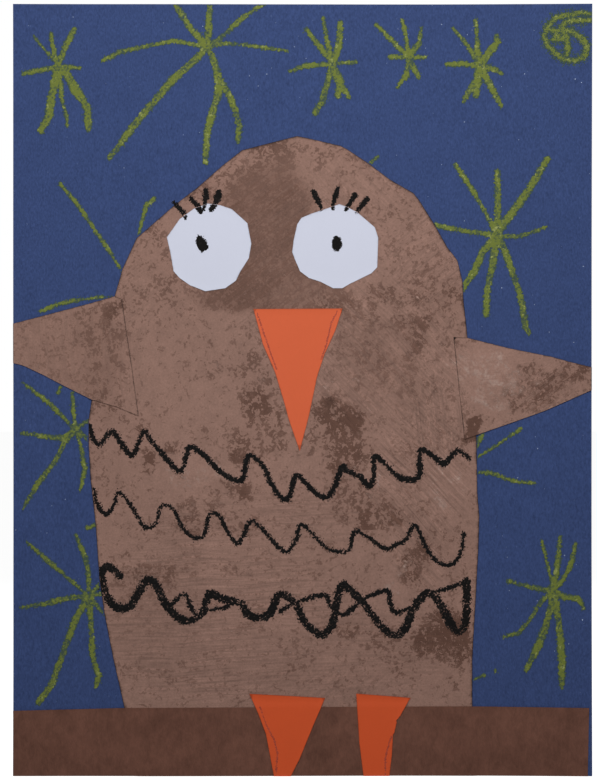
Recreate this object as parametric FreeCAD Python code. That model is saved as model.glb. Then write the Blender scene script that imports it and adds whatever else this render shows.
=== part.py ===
import FreeCAD, Part
import math
import os

# A cut-paper owl collage. Pieces of painted, coloured and white paper are glued in layers on one
# blue sheet, and its stars, feathers and lashes are drawn in oil pastel.
# Millimetres, upright: +X to the right, +Z up, and the picture faces -Y. The origin is the centre
# of the sheet's back face. A "level" is a distance forward of that back face.
# An outline is a list of (x, z) points, and a stroke is a list of (x, z, width) points.

# The blue sheet
sheet_width = 228.6
sheet_height = 304.8
sheet_thickness = 0.25

# The owl's body, which runs down behind the strip to the sheet's bottom edge
body_width = 154.4
body_height = 252.7
body_centre_x = -7.3
painted_paper_thickness = 0.30

# The brown strip that the owl stands on
strip_height = 27.4
strip_left_drop = 1.7
strip_side_drop = 0.5
strip_right_gap_top = 1.2
strip_right_gap_bottom = 1.8
strip_paper_thickness = 0.25

# Eyes, beak and legs
eye_diameter = 34.0
eye_paper_thickness = 0.15
pupil_width = 3.8
pupil_height = 6.1
beak_width = 35.2
beak_length = 56.2
orange_paper_thickness = 0.20

# Glue stick between the papers
glue_thickness = 0.05
glue_inset = 1.6
leg_glue_inset = 0.8

# Pastel and pencil
pastel_thickness = 0.12
pencil_thickness = 0.04
pencil_width = 0.6
feather_width_top = 1.8
feather_width_middle = 1.6
feather_width_bottom = 3.2
feather_width_bottom_extra = 1.7

# How a paper steps down over the edge of the paper under it
step_clearance = 0.2
step_ramp = 2.0
pastel_edge_gap = 0.1

# Sizes that the outlines below are drawn at
drawn_body_width = 154.4
drawn_body_height = 252.7
drawn_sheet_width = 228.6
drawn_sheet_height = 304.8
drawn_eye_diameter = 34.0
drawn_beak_width = 35.2
drawn_beak_length = 56.2

# Levels of the layers, from the sheet's back face forward
sheet_front = sheet_thickness
body_back = sheet_front + glue_thickness
body_front = body_back + painted_paper_thickness
on_body = body_front + glue_thickness
strip_front = on_body + strip_paper_thickness
on_strip = strip_front + glue_thickness
eye_front = on_body + eye_paper_thickness
beak_front = on_body + orange_paper_thickness
leg_front_high = on_strip + orange_paper_thickness

left_edge = -sheet_width / 2
right_edge = sheet_width / 2
top_edge = sheet_height / 2
bottom_edge = -sheet_height / 2
far = 2 * (sheet_width + sheet_height)
disc_sides = 10
smooth_steps = 3

# The body's outline, from its middle line and its bottom edge. Straight scissor cuts.
left_side_fold = [(-76, 148.4), (-66.9, 189.5)]
right_side_fold = [(72.5, 173.3), (76, 134.6)]
left_foot_fold = [(-57, 0), (-63, 26.8)]
right_foot_fold = [(74.4, 45.4), (74.4, 0)]
body_outline = left_foot_fold + [
    (-67.3, 45.8), (-68.9, 53.7), (-70.9, 64), (-72.9, 77.8), (-74.4, 99.5), (-76.4, 116.9),
    (-77.2, 130.3), (-77.2, 140.5),
] + left_side_fold + [
    (-63.8, 200.2), (-58.2, 212.4), (-42.8, 225.8), (-34.5, 232.1), (-24.6, 240.8), (-16.6, 247.1),
    (5.1, 252.7), (8.3, 252.1), (22.2, 248.9), (24.6, 247.7), (33.3, 242), (41.6, 235.7),
    (51.1, 230.2), (53.1, 227.8), (59.4, 217.9), (64.5, 208.8), (68.5, 203.7), (70.5, 195.4),
    (70.9, 187.9),
] + right_side_fold + [
    (76.4, 111.7), (77.2, 102.6), (76.8, 89.6), (76, 74.6), (74.8, 53.7),
] + right_foot_fold

# The wings' outlines, from the middle of the body edge that each one crosses. Each is a whole
# pointed wing, and the sheet's edge trims its tip.
left_wing_outline = [
    (-65.4, 1.8), (-35.4, 9.7), (-6.1, 17.4), (4.6, 20.5), (7.5, 19.3), (7.7, 17.4), (9.5, 5.1),
    (11.5, -8.3), (13.1, -20.1), (14.1, -26.8), (4.6, -22.9), (-4.6, -20.3), (-16.8, -14.2),
    (-23.4, -10.7), (-31.5, -6.9), (-35.4, -5.9),
]
right_wing_outline = [
    (60.7, 4.3), (47.3, -1.6), (28.9, -9.7), (16.4, -14.2), (1.8, -19.3), (-3, -21.1),
    (-3.2, -18.6), (-4.6, -6.3), (-5.7, 4.3), (-7.3, 19.3), (-1.8, 19.1), (14.5, 15),
    (31.5, 11.6), (39, 9.5), (47.3, 7.5),
]

# The eyes' outlines, from their centres, and where those are on the body
left_eye_place = (-29.7, 208.8)
right_eye_place = (20.2, 208.8)
left_eye_outline = [
    (-16.6, 3.9), (-11.5, 11.1), (-5.9, 15.2), (-0.4, 17.2), (4.4, 16.6), (9.1, 15), (15.2, 9.5),
    (16.8, 1.4), (15.8, -4.3), (12.5, -9.5), (10.7, -13.2), (6.5, -16.2), (-1.4, -17.4),
    (-7.5, -15), (-11.5, -12.2), (-13.9, -9.5), (-15.2, -2),
]
right_eye_outline = [
    (-17, -2), (-16.4, 2.8), (-15, 9.1), (-13.3, 11.6), (-9.5, 13.2), (-2.4, 15.6), (1.6, 17),
    (4.4, 16), (8.7, 13.8), (15.6, 7.9), (17, 3.8), (16.6, -7.9), (14.3, -10.3), (5.9, -14.4),
    (2.8, -16.2), (-0.8, -16.2), (-5.9, -13.6), (-10.3, -12.2), (-13.9, -9.5), (-15.8, -5.1),
]
left_pupil_outline = [
    (-4.2, 4.9), (-2.4, 3.9), (-1.2, 2.4), (-0.4, 0), (-1.2, -1.2), (-2.8, -2), (-3.8, -0.8),
    (-5.1, 2),
]
right_pupil_place = (0.6, 1.4)

# The lashes, from the centre of their eye. Each is one stroke, broken where the eye's edge lifts it.
left_lash_strokes = [
    [(-13.9, 17.8, 1.1), (-12.7, 16.6, 1.6), (-9.9, 13.4, 2.2), (-9.1, 11.3, 1.0)],
    [(-7.1, 19.3, 1.4), (-4.8, 16.6, 2.2), (-3, 13.8, 1.6)],
    [(-1.2, 22.5, 1.6), (-1.2, 19.8, 2.4), (-1.4, 18.2, 1.8), (-2, 14.6, 1.0)],
    [(4, 21.7, 2.0), (3.4, 19.5, 3.2), (3, 17.8, 1.5), (1, 15, 2.2)],
]
right_lash_strokes = [
    [(-8.7, 22.1, 1.8), (-6.9, 18.5, 2.4), (-5.9, 16.2, 1.4), (-5.5, 14.6, 0.9)],
    [(1, 23.3, 1.6), (0.2, 20.5, 2.2), (-0.8, 17.4, 1.4), (-0.8, 15.2, 1.2)],
    [(7.9, 20.5, 2.2), (5.5, 17, 1.7), (4.4, 14.9, 1.5)],
    [(12.5, 19, 2.0), (9.3, 15, 1.8), (8.2, 13.4, 0.9)],
]

# The beak, from the middle of its top edge, and the legs, from the strip's top edge. Each leg is a
# whole pointed leg, and the sheet's edge trims it.
beak_place = (5.5, 184.5)
beak_outline = [
    (-17.6, -0.1), (17.6, 0.1), (14.7, -8.8), (10.5, -17.9), (7.5, -27), (4.4, -42), (0.7, -56.2),
    (-3.6, -43.9), (-5.5, -36.8), (-9.1, -25), (-13.9, -13.9),
]
beak_pencil_strokes = [
    [(15.6, -0.9), (13.1, -5.6), (11.3, -13.9), (9.2, -19.9)],
    [(-16.2, -1.7), (-13.8, -8.8), (-11.3, -15.9), (-8.6, -23.8)],
]
left_leg_x = 0.8
right_leg_x = 38.4
left_leg_outline = [
    (-14.5, 5.1), (15.4, 3.4), (10.7, -7.5), (5.3, -20.7), (-3, -37), (-7.9, -10.9), (-11.1, -2.4),
]
right_leg_outline = [
    (-9.9, 5.1), (11.5, 3.4), (7.5, -3.6), (5.9, -5.5), (6.1, -6.3), (5.1, -10.3), (4.6, -11.1),
    (4.2, -18.8), (1.7, -40), (-5.5, -40), (-8.7, -14.2),
]
left_leg_pencil = [
    (-12.6, 3.9), (-10.4, 0.2), (-7.6, -7.5), (-4.6, -13.4), (-3.4, -18.2), (-3.9, -25.5),
]
right_leg_pencil = [(4, -11.8), (2.6, -16.2), (1.6, -20.7), (1.6, -26.8)]

# The three rows of feathers, on the body, each one wavy line
feather_row_top = [
    (-77, 138), (-73.5, 130.5), (-68.5, 136), (-66, 134), (-60, 126.5), (-55.5, 136),
    (-52.5, 132.5), (-42, 120.5), (-39, 124.5), (-37.5, 130), (-31.5, 126.5), (-25.5, 120.5),
    (-19, 116.5), (-16, 118), (-14.5, 125.5), (-12, 126), (-7.5, 121), (-4, 113.5), (1, 109),
    (4, 117), (5.5, 118.5), (10.5, 113.5), (14.5, 110.5), (18, 110.5), (21, 117), (23, 122.5),
    (24.5, 120.5), (30, 118), (33.5, 114.5), (35.5, 118.5), (35.5, 126), (39, 124), (45.5, 118),
    (50.5, 117), (53.5, 119), (53.5, 128), (56, 128.5), (61.5, 124), (64, 123.5), (68.5, 128.5),
    (73, 125.5),
]
feather_row_middle = [
    (-75, 113), (-74, 108), (-70.5, 103), (-67.5, 106.5), (-66, 111), (-64, 111.5), (-60, 106),
    (-56, 99.5), (-54, 98), (-50.5, 100), (-48.5, 106.5), (-45.5, 106.5), (-43, 104),
    (-39, 96.5), (-34.5, 94), (-31.5, 95), (-29.5, 103), (-25.5, 102.5), (-22.5, 96.5),
    (-18.5, 92), (-16, 95), (-13.5, 100.5), (-10, 99), (-5.5, 94), (-1, 89.5), (2, 89), (5, 94),
    (6, 98.5), (8.5, 98.5), (13.5, 93), (17.5, 89.5), (21.5, 88.5), (26, 89.5), (27.5, 96),
    (30, 96), (35, 93), (40.5, 89.5), (44.5, 91.5), (48, 93), (50.5, 98), (52.5, 98.5),
    (55.5, 91.5), (59.5, 85.5), (64, 83), (68, 85), (70.5, 90), (71, 95.5),
]
feather_row_bottom = [
    (-65, 79), (-67.5, 81.5), (-70.5, 82.5), (-72, 79), (-71.2, 74), (-68.5, 68.5), (-64, 66),
    (-60, 68), (-56.5, 74), (-54, 77.5), (-50.5, 75.5), (-48, 70), (-44, 64.5), (-40, 61.5),
    (-35, 62), (-31.5, 65.5), (-29.5, 72), (-25.5, 70.5), (-20, 69), (-16.5, 68), (-14.5, 64),
    (-10, 62.5), (-5.5, 64), (-3, 70.5), (0, 71.5), (4.5, 68), (7.5, 62), (11.5, 57.5),
    (16, 56), (19.5, 61), (21, 70), (23, 75.5), (26.5, 73), (31.5, 68), (36, 62), (40.5, 57),
    (44.5, 55.5), (48.5, 59), (51, 66), (56, 72), (59.5, 71), (63, 65.5), (66.5, 59),
    (69.5, 57), (72, 61.5), (72, 76.5),
]
feather_row_bottom_extras = [
    [(-45.5, 66.5), (-39.5, 72), (-37, 67.5), (-35, 63.5)],
    [(-31.5, 65.5), (-23, 66.5), (-20, 69)],
    [(-1.5, 65), (4.5, 68.5), (16, 71.5), (18, 67.5), (23, 63.5), (26.5, 65.5), (31.5, 70),
     (38, 72.5), (41, 73), (42, 68), (44, 64.5), (49.5, 66), (53, 68.5)],
    [(59.5, 72.5), (72, 76.5)],
]

# The stars on the blue sheet: a centre, rays of (width, point, point, ...) that start there, and
# loose strokes of the same form that don't
sheet_stars = {
    "star_01": ((-96.5, 128), [
        (1.6, (-9.5, 11.5)),
        (2.6, (-1.5, 5), (-3, 13)),
        (3.0, (3, 8), (6.5, 14.5)),
        (2.4, (-5.5, -1.5), (-13.5, -3)),
        (2.4, (8.5, -1)),
        (3.4, (-2.5, -11.5), (-3.5, -19.5), (-7, -25.5)),
        (2.0, (1.5, -13.5), (3.5, -20.5), (3.5, -23.5)),
        (3.6, (3, -2.5), (7, -9.5), (11.5, -16.5), (12, -24.5)),
    ], []),
    "star_02": ((-37.5, 135.5), [
        (3.2, (-7, 7.5), (-14.5, 19.5)),
        (3.2, (0.5, 8.5), (1, 19.5)),
        (2.6, (6.5, 4.5), (12.5, 10.5), (24, 18.5)),
        (2.4, (6.5, 1.5), (16.5, 0.5), (31.5, -1.5)),
        (2.4, (-13, 2.5), (-23, 0.5), (-35, -2), (-41.5, -5.5)),
        (3.4, (-5, -5), (-13, -12), (-23, -23.5), (-31, -33.5), (-39, -44)),
        (3.4, (3, -7), (4.5, -14), (4, -19), (2, -25), (0, -33), (-1, -45.5)),
        (3.2, (3, -7), (5.5, -14), (8, -18), (11, -25), (12.5, -31), (12, -37.5)),
    ], []),
    "star_03": ((12, 129), [
        (2.2, (-2.5, 10), (-4, 18)),
        (2.4, (-5, 6.5), (-10.5, 13.5)),
        (3.2, (2.5, 7), (3, 16)),
        (2.4, (-11, -1), (-17, -3)),
        (2.4, (9, 0.5)),
        (3.2, (-3, -10), (-4, -14.5), (-7, -19.5)),
        (3.6, (1, -3.5), (3, -7.5), (2, -12.5)),
        (2.8, (3, -7.5), (6.5, -13.5)),
    ], []),
    "star_04": ((42, 131.5), [
        (2.2, (-7, 7), (-13, 13)),
        (2.2, (-1, 7.5), (-2.5, 14.5)),
        (2.6, (4, 5.5), (5, 11.5)),
        (2.4, (-7.5, 0)),
        (2.4, (6.5, 0)),
        (2.0, (-0.5, -5), (-2, -8), (-4.5, -12)),
        (2.8, (-1, -8.5)),
        (2.8, (1.5, -3.5), (4, -8)),
    ], []),
    "star_05": ((70, 128), [
        (2.2, (-5, 8.5), (-10.5, 15)),
        (2.4, (-1, 8.5), (-1.5, 18)),
        (3.2, (3.5, 5), (7, 9.5), (6.5, 12)),
        (2.4, (-7.5, 1), (-13, 0.5)),
        (2.6, (5, -1), (8.5, -3)),
        (3.0, (-1, -5.5), (-4.5, -10.5), (-6.5, -14)),
        (3.6, (-1, -7), (-1.5, -11.5)),
        (2.8, (3.5, -6.5), (7, -12.5), (8.5, -16)),
    ], []),
    "star_08": ((77, 61), [
        (2.4, (-4, 8), (-10.5, 19), (-16.5, 28)),
        (3.2, (0, 14), (0, 25.5)),
        (3.4, (4, 6.5), (13, 19), (20, 30.5)),
        (2.4, (8, -0.5), (14.5, 1.5), (19, 3.5)),
        (2.6, (-10.5, 1.5), (-26.5, 4.5)),
        (3.2, (-6, -6.5), (-9, -14), (-14.5, -22)),
        (3.2, (-2, -12), (-4, -21.5), (-4.5, -31)),
        (3.2, (3, -6), (7, -17), (9.5, -25.5), (11, -35.5), (12.5, -38.5)),
    ], []),
    "star_09": ((-89.5, -16), [
        (2.2, (-11.5, 11.5), (-21, 19)),
        (2.4, (-1, 7.5), (-1.5, 17)),
        (1.8, (3, 3), (6.5, 4.5)),
        (2.8, (-6, -3), (-12.5, -2.5), (-21, -1)),
        (2.6, (-4.5, -4.5), (-8.5, -12.5), (-15.5, -21.5), (-21, -31)),
        (2.2, (2, -6.5), (3.5, -15.5), (1.5, -23.5)),
        (3.0, (6, -4.5)),
    ], [
        (2.2, (-5, 20), (-7, 15)),
    ]),
    "star_10": ((-84.5, -81.5), [
        (2.0, (-15.5, 13.5), (-24.5, 21.5)),
        (2.6, (0, 8.5), (-1.5, 16), (-5, 24)),
        (2.6, (-7.5, -0.5), (-17.5, -3), (-27, -4.5)),
        (3.2, (-5.5, -9.5), (-10.5, -23.5), (-14.5, -35), (-20, -42)),
        (2.8, (1, -11.5), (1.5, -23.5), (4, -31.5), (3, -35.5)),
        (2.2, (4.5, 5)),
        (2.4, (6.5, -7.5)),
        (2.0, (5, 1)),
    ], [
        (2.0, (-0.5, 27), (3.5, 28.5)),
    ]),
    "star_12": ((99, -79.5), [
        (2.0, (-2, 10), (-4.5, 20)),
        (2.6, (1.5, 8.5), (3, 21.5)),
        (2.2, (4, 4.5), (7, 10), (9, 18.5)),
        (2.4, (-8.5, 1.5), (-17.5, 4)),
        (2.8, (5, -2.5), (10, -3), (12, -6.5)),
        (2.4, (-4.5, -4), (-8.5, -10.5), (-13.5, -16.5), (-19.5, -18)),
        (3.4, (-0.5, -5), (-3.5, -16), (-7.5, -25), (-10.5, -31)),
        (3.2, (1.5, -7), (3, -19), (3.5, -29), (3.5, -38)),
    ], []),
}

# Stars that show only past the owl's edges, so they are placed from the body
peeping_stars = {
    "star_06": [
        (1.9, (-88.5, 234), (-83, 227.5), (-77, 219), (-69.5, 208), (-63.5, 198.5)),
        (2.2, (-51.5, 228), (-54.5, 225), (-56, 219.5), (-58, 211.5)),
        (1.8, (-96, 183.5), (-88.5, 186.5), (-81, 188), (-73, 189), (-64, 189)),
    ],
    "star_07": [
        (2.0, (37, 244.5), (32.5, 241)),
    ],
    "star_11": [
        (1.9, (93.5, 137), (85.5, 131.5), (74.5, 124.5)),
        (2.2, (79, 136.5), (75.5, 128.5)),
        (2.2, (74.5, 120), (81.5, 119.5), (87.5, 117.5), (92.5, 116), (99, 115.5)),
    ],
    "star_13": [
        (1.8, (73.5, 37.5), (79, 39.5)),
        (1.3, (83.5, 42), (83.5, 41)),
    ],
}

# The scribbled spiral, from the sheet's top right corner
spiral_strokes = [
    (1.6, (3, -4.5), (-4.5, -3.5), (-10.5, -4.5), (-14.5, -5.5), (-17.5, -9), (-19, -12.5),
     (-17.5, -16.5), (-14, -20), (-11, -22), (-6.5, -22.5), (-3, -20.5), (-2, -17), (-4, -13.5),
     (-8, -11), (-11.5, -10)),
    (1.8, (3, -6.5), (-5.5, -6.5), (-10, -7), (-12, -9), (-10.5, -12.5), (-9.5, -16.5),
     (-10, -20.5)),
    (1.4, (-17, -10), (-12.5, -11), (-15.5, -14), (-10, -13.5)),
]

V = FreeCAD.Vector


def face_of(outline):
    """A flat face, on the plane of the sheet's back."""
    corners = [V(x, 0, z) for x, z in outline]
    return Part.Face(Part.makePolygon(corners + corners[:1]))


def raise_flat(region, back, thickness):
    """Flat solids from the level back forward: one for each part of a region that stands alone."""
    solids = []
    for face in region.Faces:
        solid = face.translated(V(0, -back, 0)).extrude(V(0, -thickness, 0))
        if solid.Volume < 0:
            solid.reverse()
        solids.append(solid)
    if len(solids) < 2:
        return solids
    return solids[0].multiFuse(solids[1:]).removeSplitter().Solids


def moved(outline, place, scale_x=1.0, scale_z=1.0):
    """An outline or stroke, scaled and then moved to a place. A width keeps its value."""
    at_x, at_z = place
    return [(at_x + scale_x * p[0], at_z + scale_z * p[1]) + tuple(p[2:]) for p in outline]


def from_body(outline):
    """Points drawn from the body's middle line and bottom edge, at the body's real size."""
    return moved(outline, (body_centre_x, bottom_edge),
                 body_width / drawn_body_width, body_height / drawn_body_height)


def middle(fold):
    (x1, z1), (x2, z2) = fold
    return ((x1 + x2) / 2, (z1 + z2) / 2)


def hull(points):
    """The convex outline round some points."""
    ordered = sorted(set(points))

    def chain(run):
        kept = []
        for p in run:
            while len(kept) > 1 and turn(kept[-2], kept[-1], p) <= 1e-9:
                kept.pop()
            kept.append(p)
        return kept[:-1]

    return chain(ordered) + chain(ordered[::-1])


def turn(a, b, c):
    return (b[0] - a[0]) * (c[1] - a[1]) - (b[1] - a[1]) * (c[0] - a[0])


def dot(x, z, width):
    """A many-sided round dot, as points."""
    angles = [2 * math.pi * i / disc_sides for i in range(disc_sides)]
    return [(round(x + width / 2 * math.cos(a), 5), round(z + width / 2 * math.sin(a), 5))
            for a in angles]


def drawn(strokes):
    """The region that some strokes of a crayon or pencil cover."""
    runs = []
    for stroke in strokes:
        for start, end in zip(stroke, stroke[1:]):
            runs.append(face_of(hull(dot(*start) + dot(*end))))
    if len(runs) == 1:
        return runs[0]
    return runs[0].multiFuse(runs[1:]).removeSplitter()


def smooth(points, width):
    """A wavy stroke of even width through the points."""
    stroke = []
    padded = [points[0]] + points + [points[-1]]
    for a, b, c, d in zip(padded, padded[1:], padded[2:], padded[3:]):
        for step in range(smooth_steps):
            t = step / smooth_steps
            place = []
            for i in (0, 1):
                bend = (2 * a[i] - 5 * b[i] + 4 * c[i] - d[i]) * t * t
                twist = (3 * b[i] - a[i] - 3 * c[i] + d[i]) * t * t * t
                place.append(b[i] + 0.5 * ((c[i] - a[i]) * t + bend + twist))
            stroke.append((place[0], place[1], width))
    stroke.append((points[-1][0], points[-1][1], width))
    return stroke


def tapered(width, points):
    """A stroke that thins a little towards its end."""
    stroke = [(x, z, width) for x, z in points]
    stroke[-1] = stroke[-1][:2] + (0.8 * width,)
    return stroke


def beside(fold, start):
    """The part of the sheet's plane to the left of a fold line, as seen along it from in front,
    from a distance start on. A negative start reaches past the line."""
    (x1, z1), (x2, z2) = fold
    length = math.hypot(x2 - x1, z2 - z1)
    ux, uz = (x2 - x1) / length, (z2 - z1) / length
    nx, nz = -uz, ux
    near = [(x1 + nx * start + ux * s * far, z1 + nz * start + uz * s * far) for s in (-1, 1)]
    away = [(x + nx * far, z + nz * far) for x, z in near]
    return face_of([near[0], near[1], away[1], away[0]])


def stepped(region, fold, low, high, thickness):
    """A paper that lies at the level low to the left of a fold line and at the level high to its
    right, with a ramp just left of the line."""
    (x1, z1), (x2, z2) = fold
    length = math.hypot(x2 - x1, z2 - z1)
    ux, uz = (x2 - x1) / length, (z2 - z1) / length
    nx, nz = -uz, ux
    ramp_start = step_clearance
    ramp_end = step_clearance + step_ramp
    back = [(-far, high), (ramp_start, high), (ramp_end, low), (far, low)]
    front = [(s, level + thickness) for s, level in reversed(back)]
    corners = []
    for s, level in back + front:
        corners.append(V(x1 + nx * s - ux * far, -level, z1 + nz * s - uz * far))
    section = Part.Face(Part.makePolygon(corners + corners[:1]))
    bent = section.extrude(V(2 * far * ux, 0, 2 * far * uz))
    block = raise_flat(region, 0, high + low + 2 * thickness)[0]
    return bent.common(block).Solids[0]


def glue_under(region, back, inset=glue_inset):
    """A film of glue that stops short of the paper's edges."""
    return raise_flat(region.makeOffset2D(-inset), back - glue_thickness, glue_thickness)


def glue_both_sides(region, fold, low, high, inset=glue_inset):
    """Glue under a paper that steps over a fold: one film on each side of the ramp."""
    outer = region.common(beside(fold, step_clearance + step_ramp)).Faces[0]
    inner = region.cut(beside(fold, 0)).Faces[0]
    return glue_under(outer, low, inset) + glue_under(inner, high, inset)


def write(name, solids):
    shape = solids[0] if len(solids) == 1 else Part.makeCompound(solids)
    shape.exportStep("parts/" + name + ".step")


os.makedirs("parts", exist_ok=True)

# The sheet, and where each paper lies on it
sheet = face_of([(left_edge, bottom_edge), (right_edge, bottom_edge),
                 (right_edge, top_edge), (left_edge, top_edge)])
body = face_of(from_body(body_outline))
left_fold = from_body(left_side_fold)
right_fold = from_body(right_side_fold)
left_foot = from_body(left_foot_fold)[::-1]
right_foot = from_body(right_foot_fold)[::-1]
left_wing = face_of(moved(left_wing_outline, middle(left_fold))).common(sheet).Faces[0]
right_wing = face_of(moved(right_wing_outline, middle(right_fold))).common(sheet).Faces[0]


def foot_x(fold):
    """Where a body side crosses the height of the strip's top."""
    (x1, z1), (x2, z2) = fold
    share = (bottom_edge + strip_height - z1) / (z2 - z1)
    return x1 + share * (x2 - x1)


strip_top = bottom_edge + strip_height
strip_left_x = foot_x(left_foot)
strip_right_x = foot_x(right_foot)
strip_mid_x = (strip_left_x + strip_right_x) / 2
strip = face_of([
    (left_edge, bottom_edge), (left_edge, strip_top - strip_left_drop),
    (strip_left_x, strip_top - strip_side_drop), (strip_right_x, strip_top),
    (right_edge - strip_right_gap_top, strip_top - strip_side_drop),
    (right_edge - strip_right_gap_bottom, bottom_edge),
])
strip_left_half = strip.common(beside([(strip_mid_x, bottom_edge), (strip_mid_x, top_edge)], 0))
strip_right_half = strip.cut(strip_left_half)

# A leg steps from the body up on to the strip, so its fold runs along the strip's top edge
leg_fold = [(strip_left_x, strip_top), (strip_right_x, strip_top)]
left_leg_place = (from_body([(left_leg_x, 0)])[0][0], strip_top)
right_leg_place = (from_body([(right_leg_x, 0)])[0][0], strip_top)
left_leg = face_of(moved(left_leg_outline, left_leg_place)).common(sheet).Faces[0]
right_leg = face_of(moved(right_leg_outline, right_leg_place)).common(sheet).Faces[0]

eye_scale = eye_diameter / drawn_eye_diameter
left_eye_at = from_body([left_eye_place])[0]
right_eye_at = from_body([right_eye_place])[0]
left_eye = face_of(moved(left_eye_outline, left_eye_at, eye_scale, eye_scale))
right_eye = face_of(moved(right_eye_outline, right_eye_at, eye_scale, eye_scale))
beak_at = from_body([beak_place])[0]
beak_scale_x = beak_width / drawn_beak_width
beak_scale_z = beak_length / drawn_beak_length
beak = face_of(moved(beak_outline, beak_at, beak_scale_x, beak_scale_z))

# Papers
write("backing_sheet", raise_flat(sheet, 0, sheet_thickness))
write("owl_body", raise_flat(body, body_back, painted_paper_thickness))
write("left_wing", [stepped(left_wing, left_fold, body_back, on_body, painted_paper_thickness)])
write("right_wing", [stepped(right_wing, right_fold, body_back, on_body, painted_paper_thickness)])
strip_left_part = stepped(strip_left_half, left_foot[::-1], body_back, on_body,
                          strip_paper_thickness)
strip_right_part = stepped(strip_right_half, right_foot[::-1], body_back, on_body,
                           strip_paper_thickness)
write("ground_strip", [strip_left_part.fuse(strip_right_part).removeSplitter().Solids[0]])
write("left_leg", [stepped(left_leg, leg_fold, on_body, on_strip, orange_paper_thickness)])
write("right_leg", [stepped(right_leg, leg_fold, on_body, on_strip, orange_paper_thickness)])
write("left_eye", raise_flat(left_eye, on_body, eye_paper_thickness))
write("right_eye", raise_flat(right_eye, on_body, eye_paper_thickness))
write("beak", raise_flat(beak, on_body, orange_paper_thickness))

# Glue films
write("body_glue", glue_under(body, body_back))
write("left_wing_glue", glue_both_sides(left_wing, left_fold, body_back, on_body))
write("right_wing_glue", glue_both_sides(right_wing, right_fold, body_back, on_body))
write("strip_glue",
      glue_both_sides(strip_left_half, left_foot[::-1], body_back, on_body)
      + glue_both_sides(strip_right_half, right_foot[::-1], body_back, on_body))
for name, leg in (("left_leg_glue", left_leg), ("right_leg_glue", right_leg)):
    write(name, glue_both_sides(leg, leg_fold, on_body, on_strip, leg_glue_inset))
write("left_eye_glue", glue_under(left_eye, on_body))
write("right_eye_glue", glue_under(right_eye, on_body))
write("beak_glue", glue_under(beak, on_body))

# Stars and spiral, on the part of the sheet that stays in sight
covers = [face.makeOffset2D(pastel_edge_gap) for face in (body, left_wing, right_wing, strip)]
sky = sheet.cut(covers)
star_scale_x = sheet_width / drawn_sheet_width
star_scale_z = sheet_height / drawn_sheet_height
for name, (centre, rays, loose) in sheet_stars.items():
    place = (centre[0] * star_scale_x, centre[1] * star_scale_z)
    strokes = [tapered(ray[0], [(0, 0)] + list(ray[1:])) for ray in rays]
    strokes += [tapered(mark[0], mark[1:]) for mark in loose]
    region = drawn([moved(stroke, place, star_scale_x, star_scale_z) for stroke in strokes])
    write(name, raise_flat(region.common(sky), sheet_front, pastel_thickness))
    sky = sky.cut(region)
for name, marks in peeping_stars.items():
    region = drawn([from_body(tapered(mark[0], mark[1:])) for mark in marks])
    write(name, raise_flat(region.common(sky), sheet_front, pastel_thickness))
    sky = sky.cut(region)
spiral = drawn([moved(tapered(mark[0], mark[1:]), (right_edge, top_edge))
                for mark in spiral_strokes])
write("sky_spiral", raise_flat(spiral.common(sky), sheet_front, pastel_thickness))
sky = sky.cut(spiral)

# Feathers, on the part of the body that stays in sight
bare_body = body.cut([face.makeOffset2D(pastel_edge_gap)
                      for face in (left_wing, right_wing, strip, left_leg, right_leg, beak)])
rows = {
    "feather_row_top": [smooth(feather_row_top, feather_width_top)],
    "feather_row_middle": [smooth(feather_row_middle, feather_width_middle)],
    "feather_row_bottom": [smooth(feather_row_bottom, feather_width_bottom)]
    + [smooth(extra, feather_width_bottom_extra) for extra in feather_row_bottom_extras],
}
for name, strokes in rows.items():
    region = drawn([from_body(stroke) for stroke in strokes])
    write(name, raise_flat(region.common(bare_body), body_front, pastel_thickness))

# Lashes run from the eye on to the body, and one runs off on to the sheet
for name, strokes, eye, place in (
    ("left_lashes", left_lash_strokes, left_eye, left_eye_at),
    ("right_lashes", right_lash_strokes, right_eye, right_eye_at),
):
    region = drawn([moved(stroke, place, eye_scale, eye_scale) for stroke in strokes])
    around_eye = body.cut(eye.makeOffset2D(3 * pastel_edge_gap))
    pieces = raise_flat(region.common(eye), eye_front, pastel_thickness)
    pieces += raise_flat(region.common(around_eye), body_front, pastel_thickness)
    pieces += raise_flat(region.common(sky), sheet_front, pastel_thickness)
    write(name, pieces)
left_pupil = face_of(moved(left_pupil_outline, left_eye_at, eye_scale, eye_scale))
pupil_centre = moved([right_pupil_place], right_eye_at, eye_scale, eye_scale)[0]
pupil_ring = [(pupil_width / 2 * math.cos(a), pupil_height / 2 * math.sin(a))
              for a in [2 * math.pi * i / 20 for i in range(20)]]
write("left_pupil", raise_flat(left_pupil, eye_front, pastel_thickness))
write("right_pupil", raise_flat(face_of(moved(pupil_ring, pupil_centre)), eye_front,
                                pastel_thickness))

# Pencil guide lines left on the orange papers
beak_lines = drawn([moved([p + (pencil_width,) for p in line], beak_at, beak_scale_x, beak_scale_z)
                    for line in beak_pencil_strokes])
write("beak_pencil_lines", raise_flat(beak_lines.common(beak), beak_front, pencil_thickness))
below_fold = sheet.cut(beside(leg_fold, 0))
for name, line, place in (
    ("left_leg_pencil_line", left_leg_pencil, left_leg_place),
    ("right_leg_pencil_line", right_leg_pencil, right_leg_place),
):
    region = drawn([moved([p + (pencil_width,) for p in line], place)])
    write(name, raise_flat(region.common(below_fold), leg_front_high, pencil_thickness))
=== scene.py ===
import bmesh
import bpy
import math
import numpy as np
from bpy.props import FloatProperty, FloatVectorProperty, PointerProperty
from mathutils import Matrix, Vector
from mathutils.geometry import delaunay_2d_cdt


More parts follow.
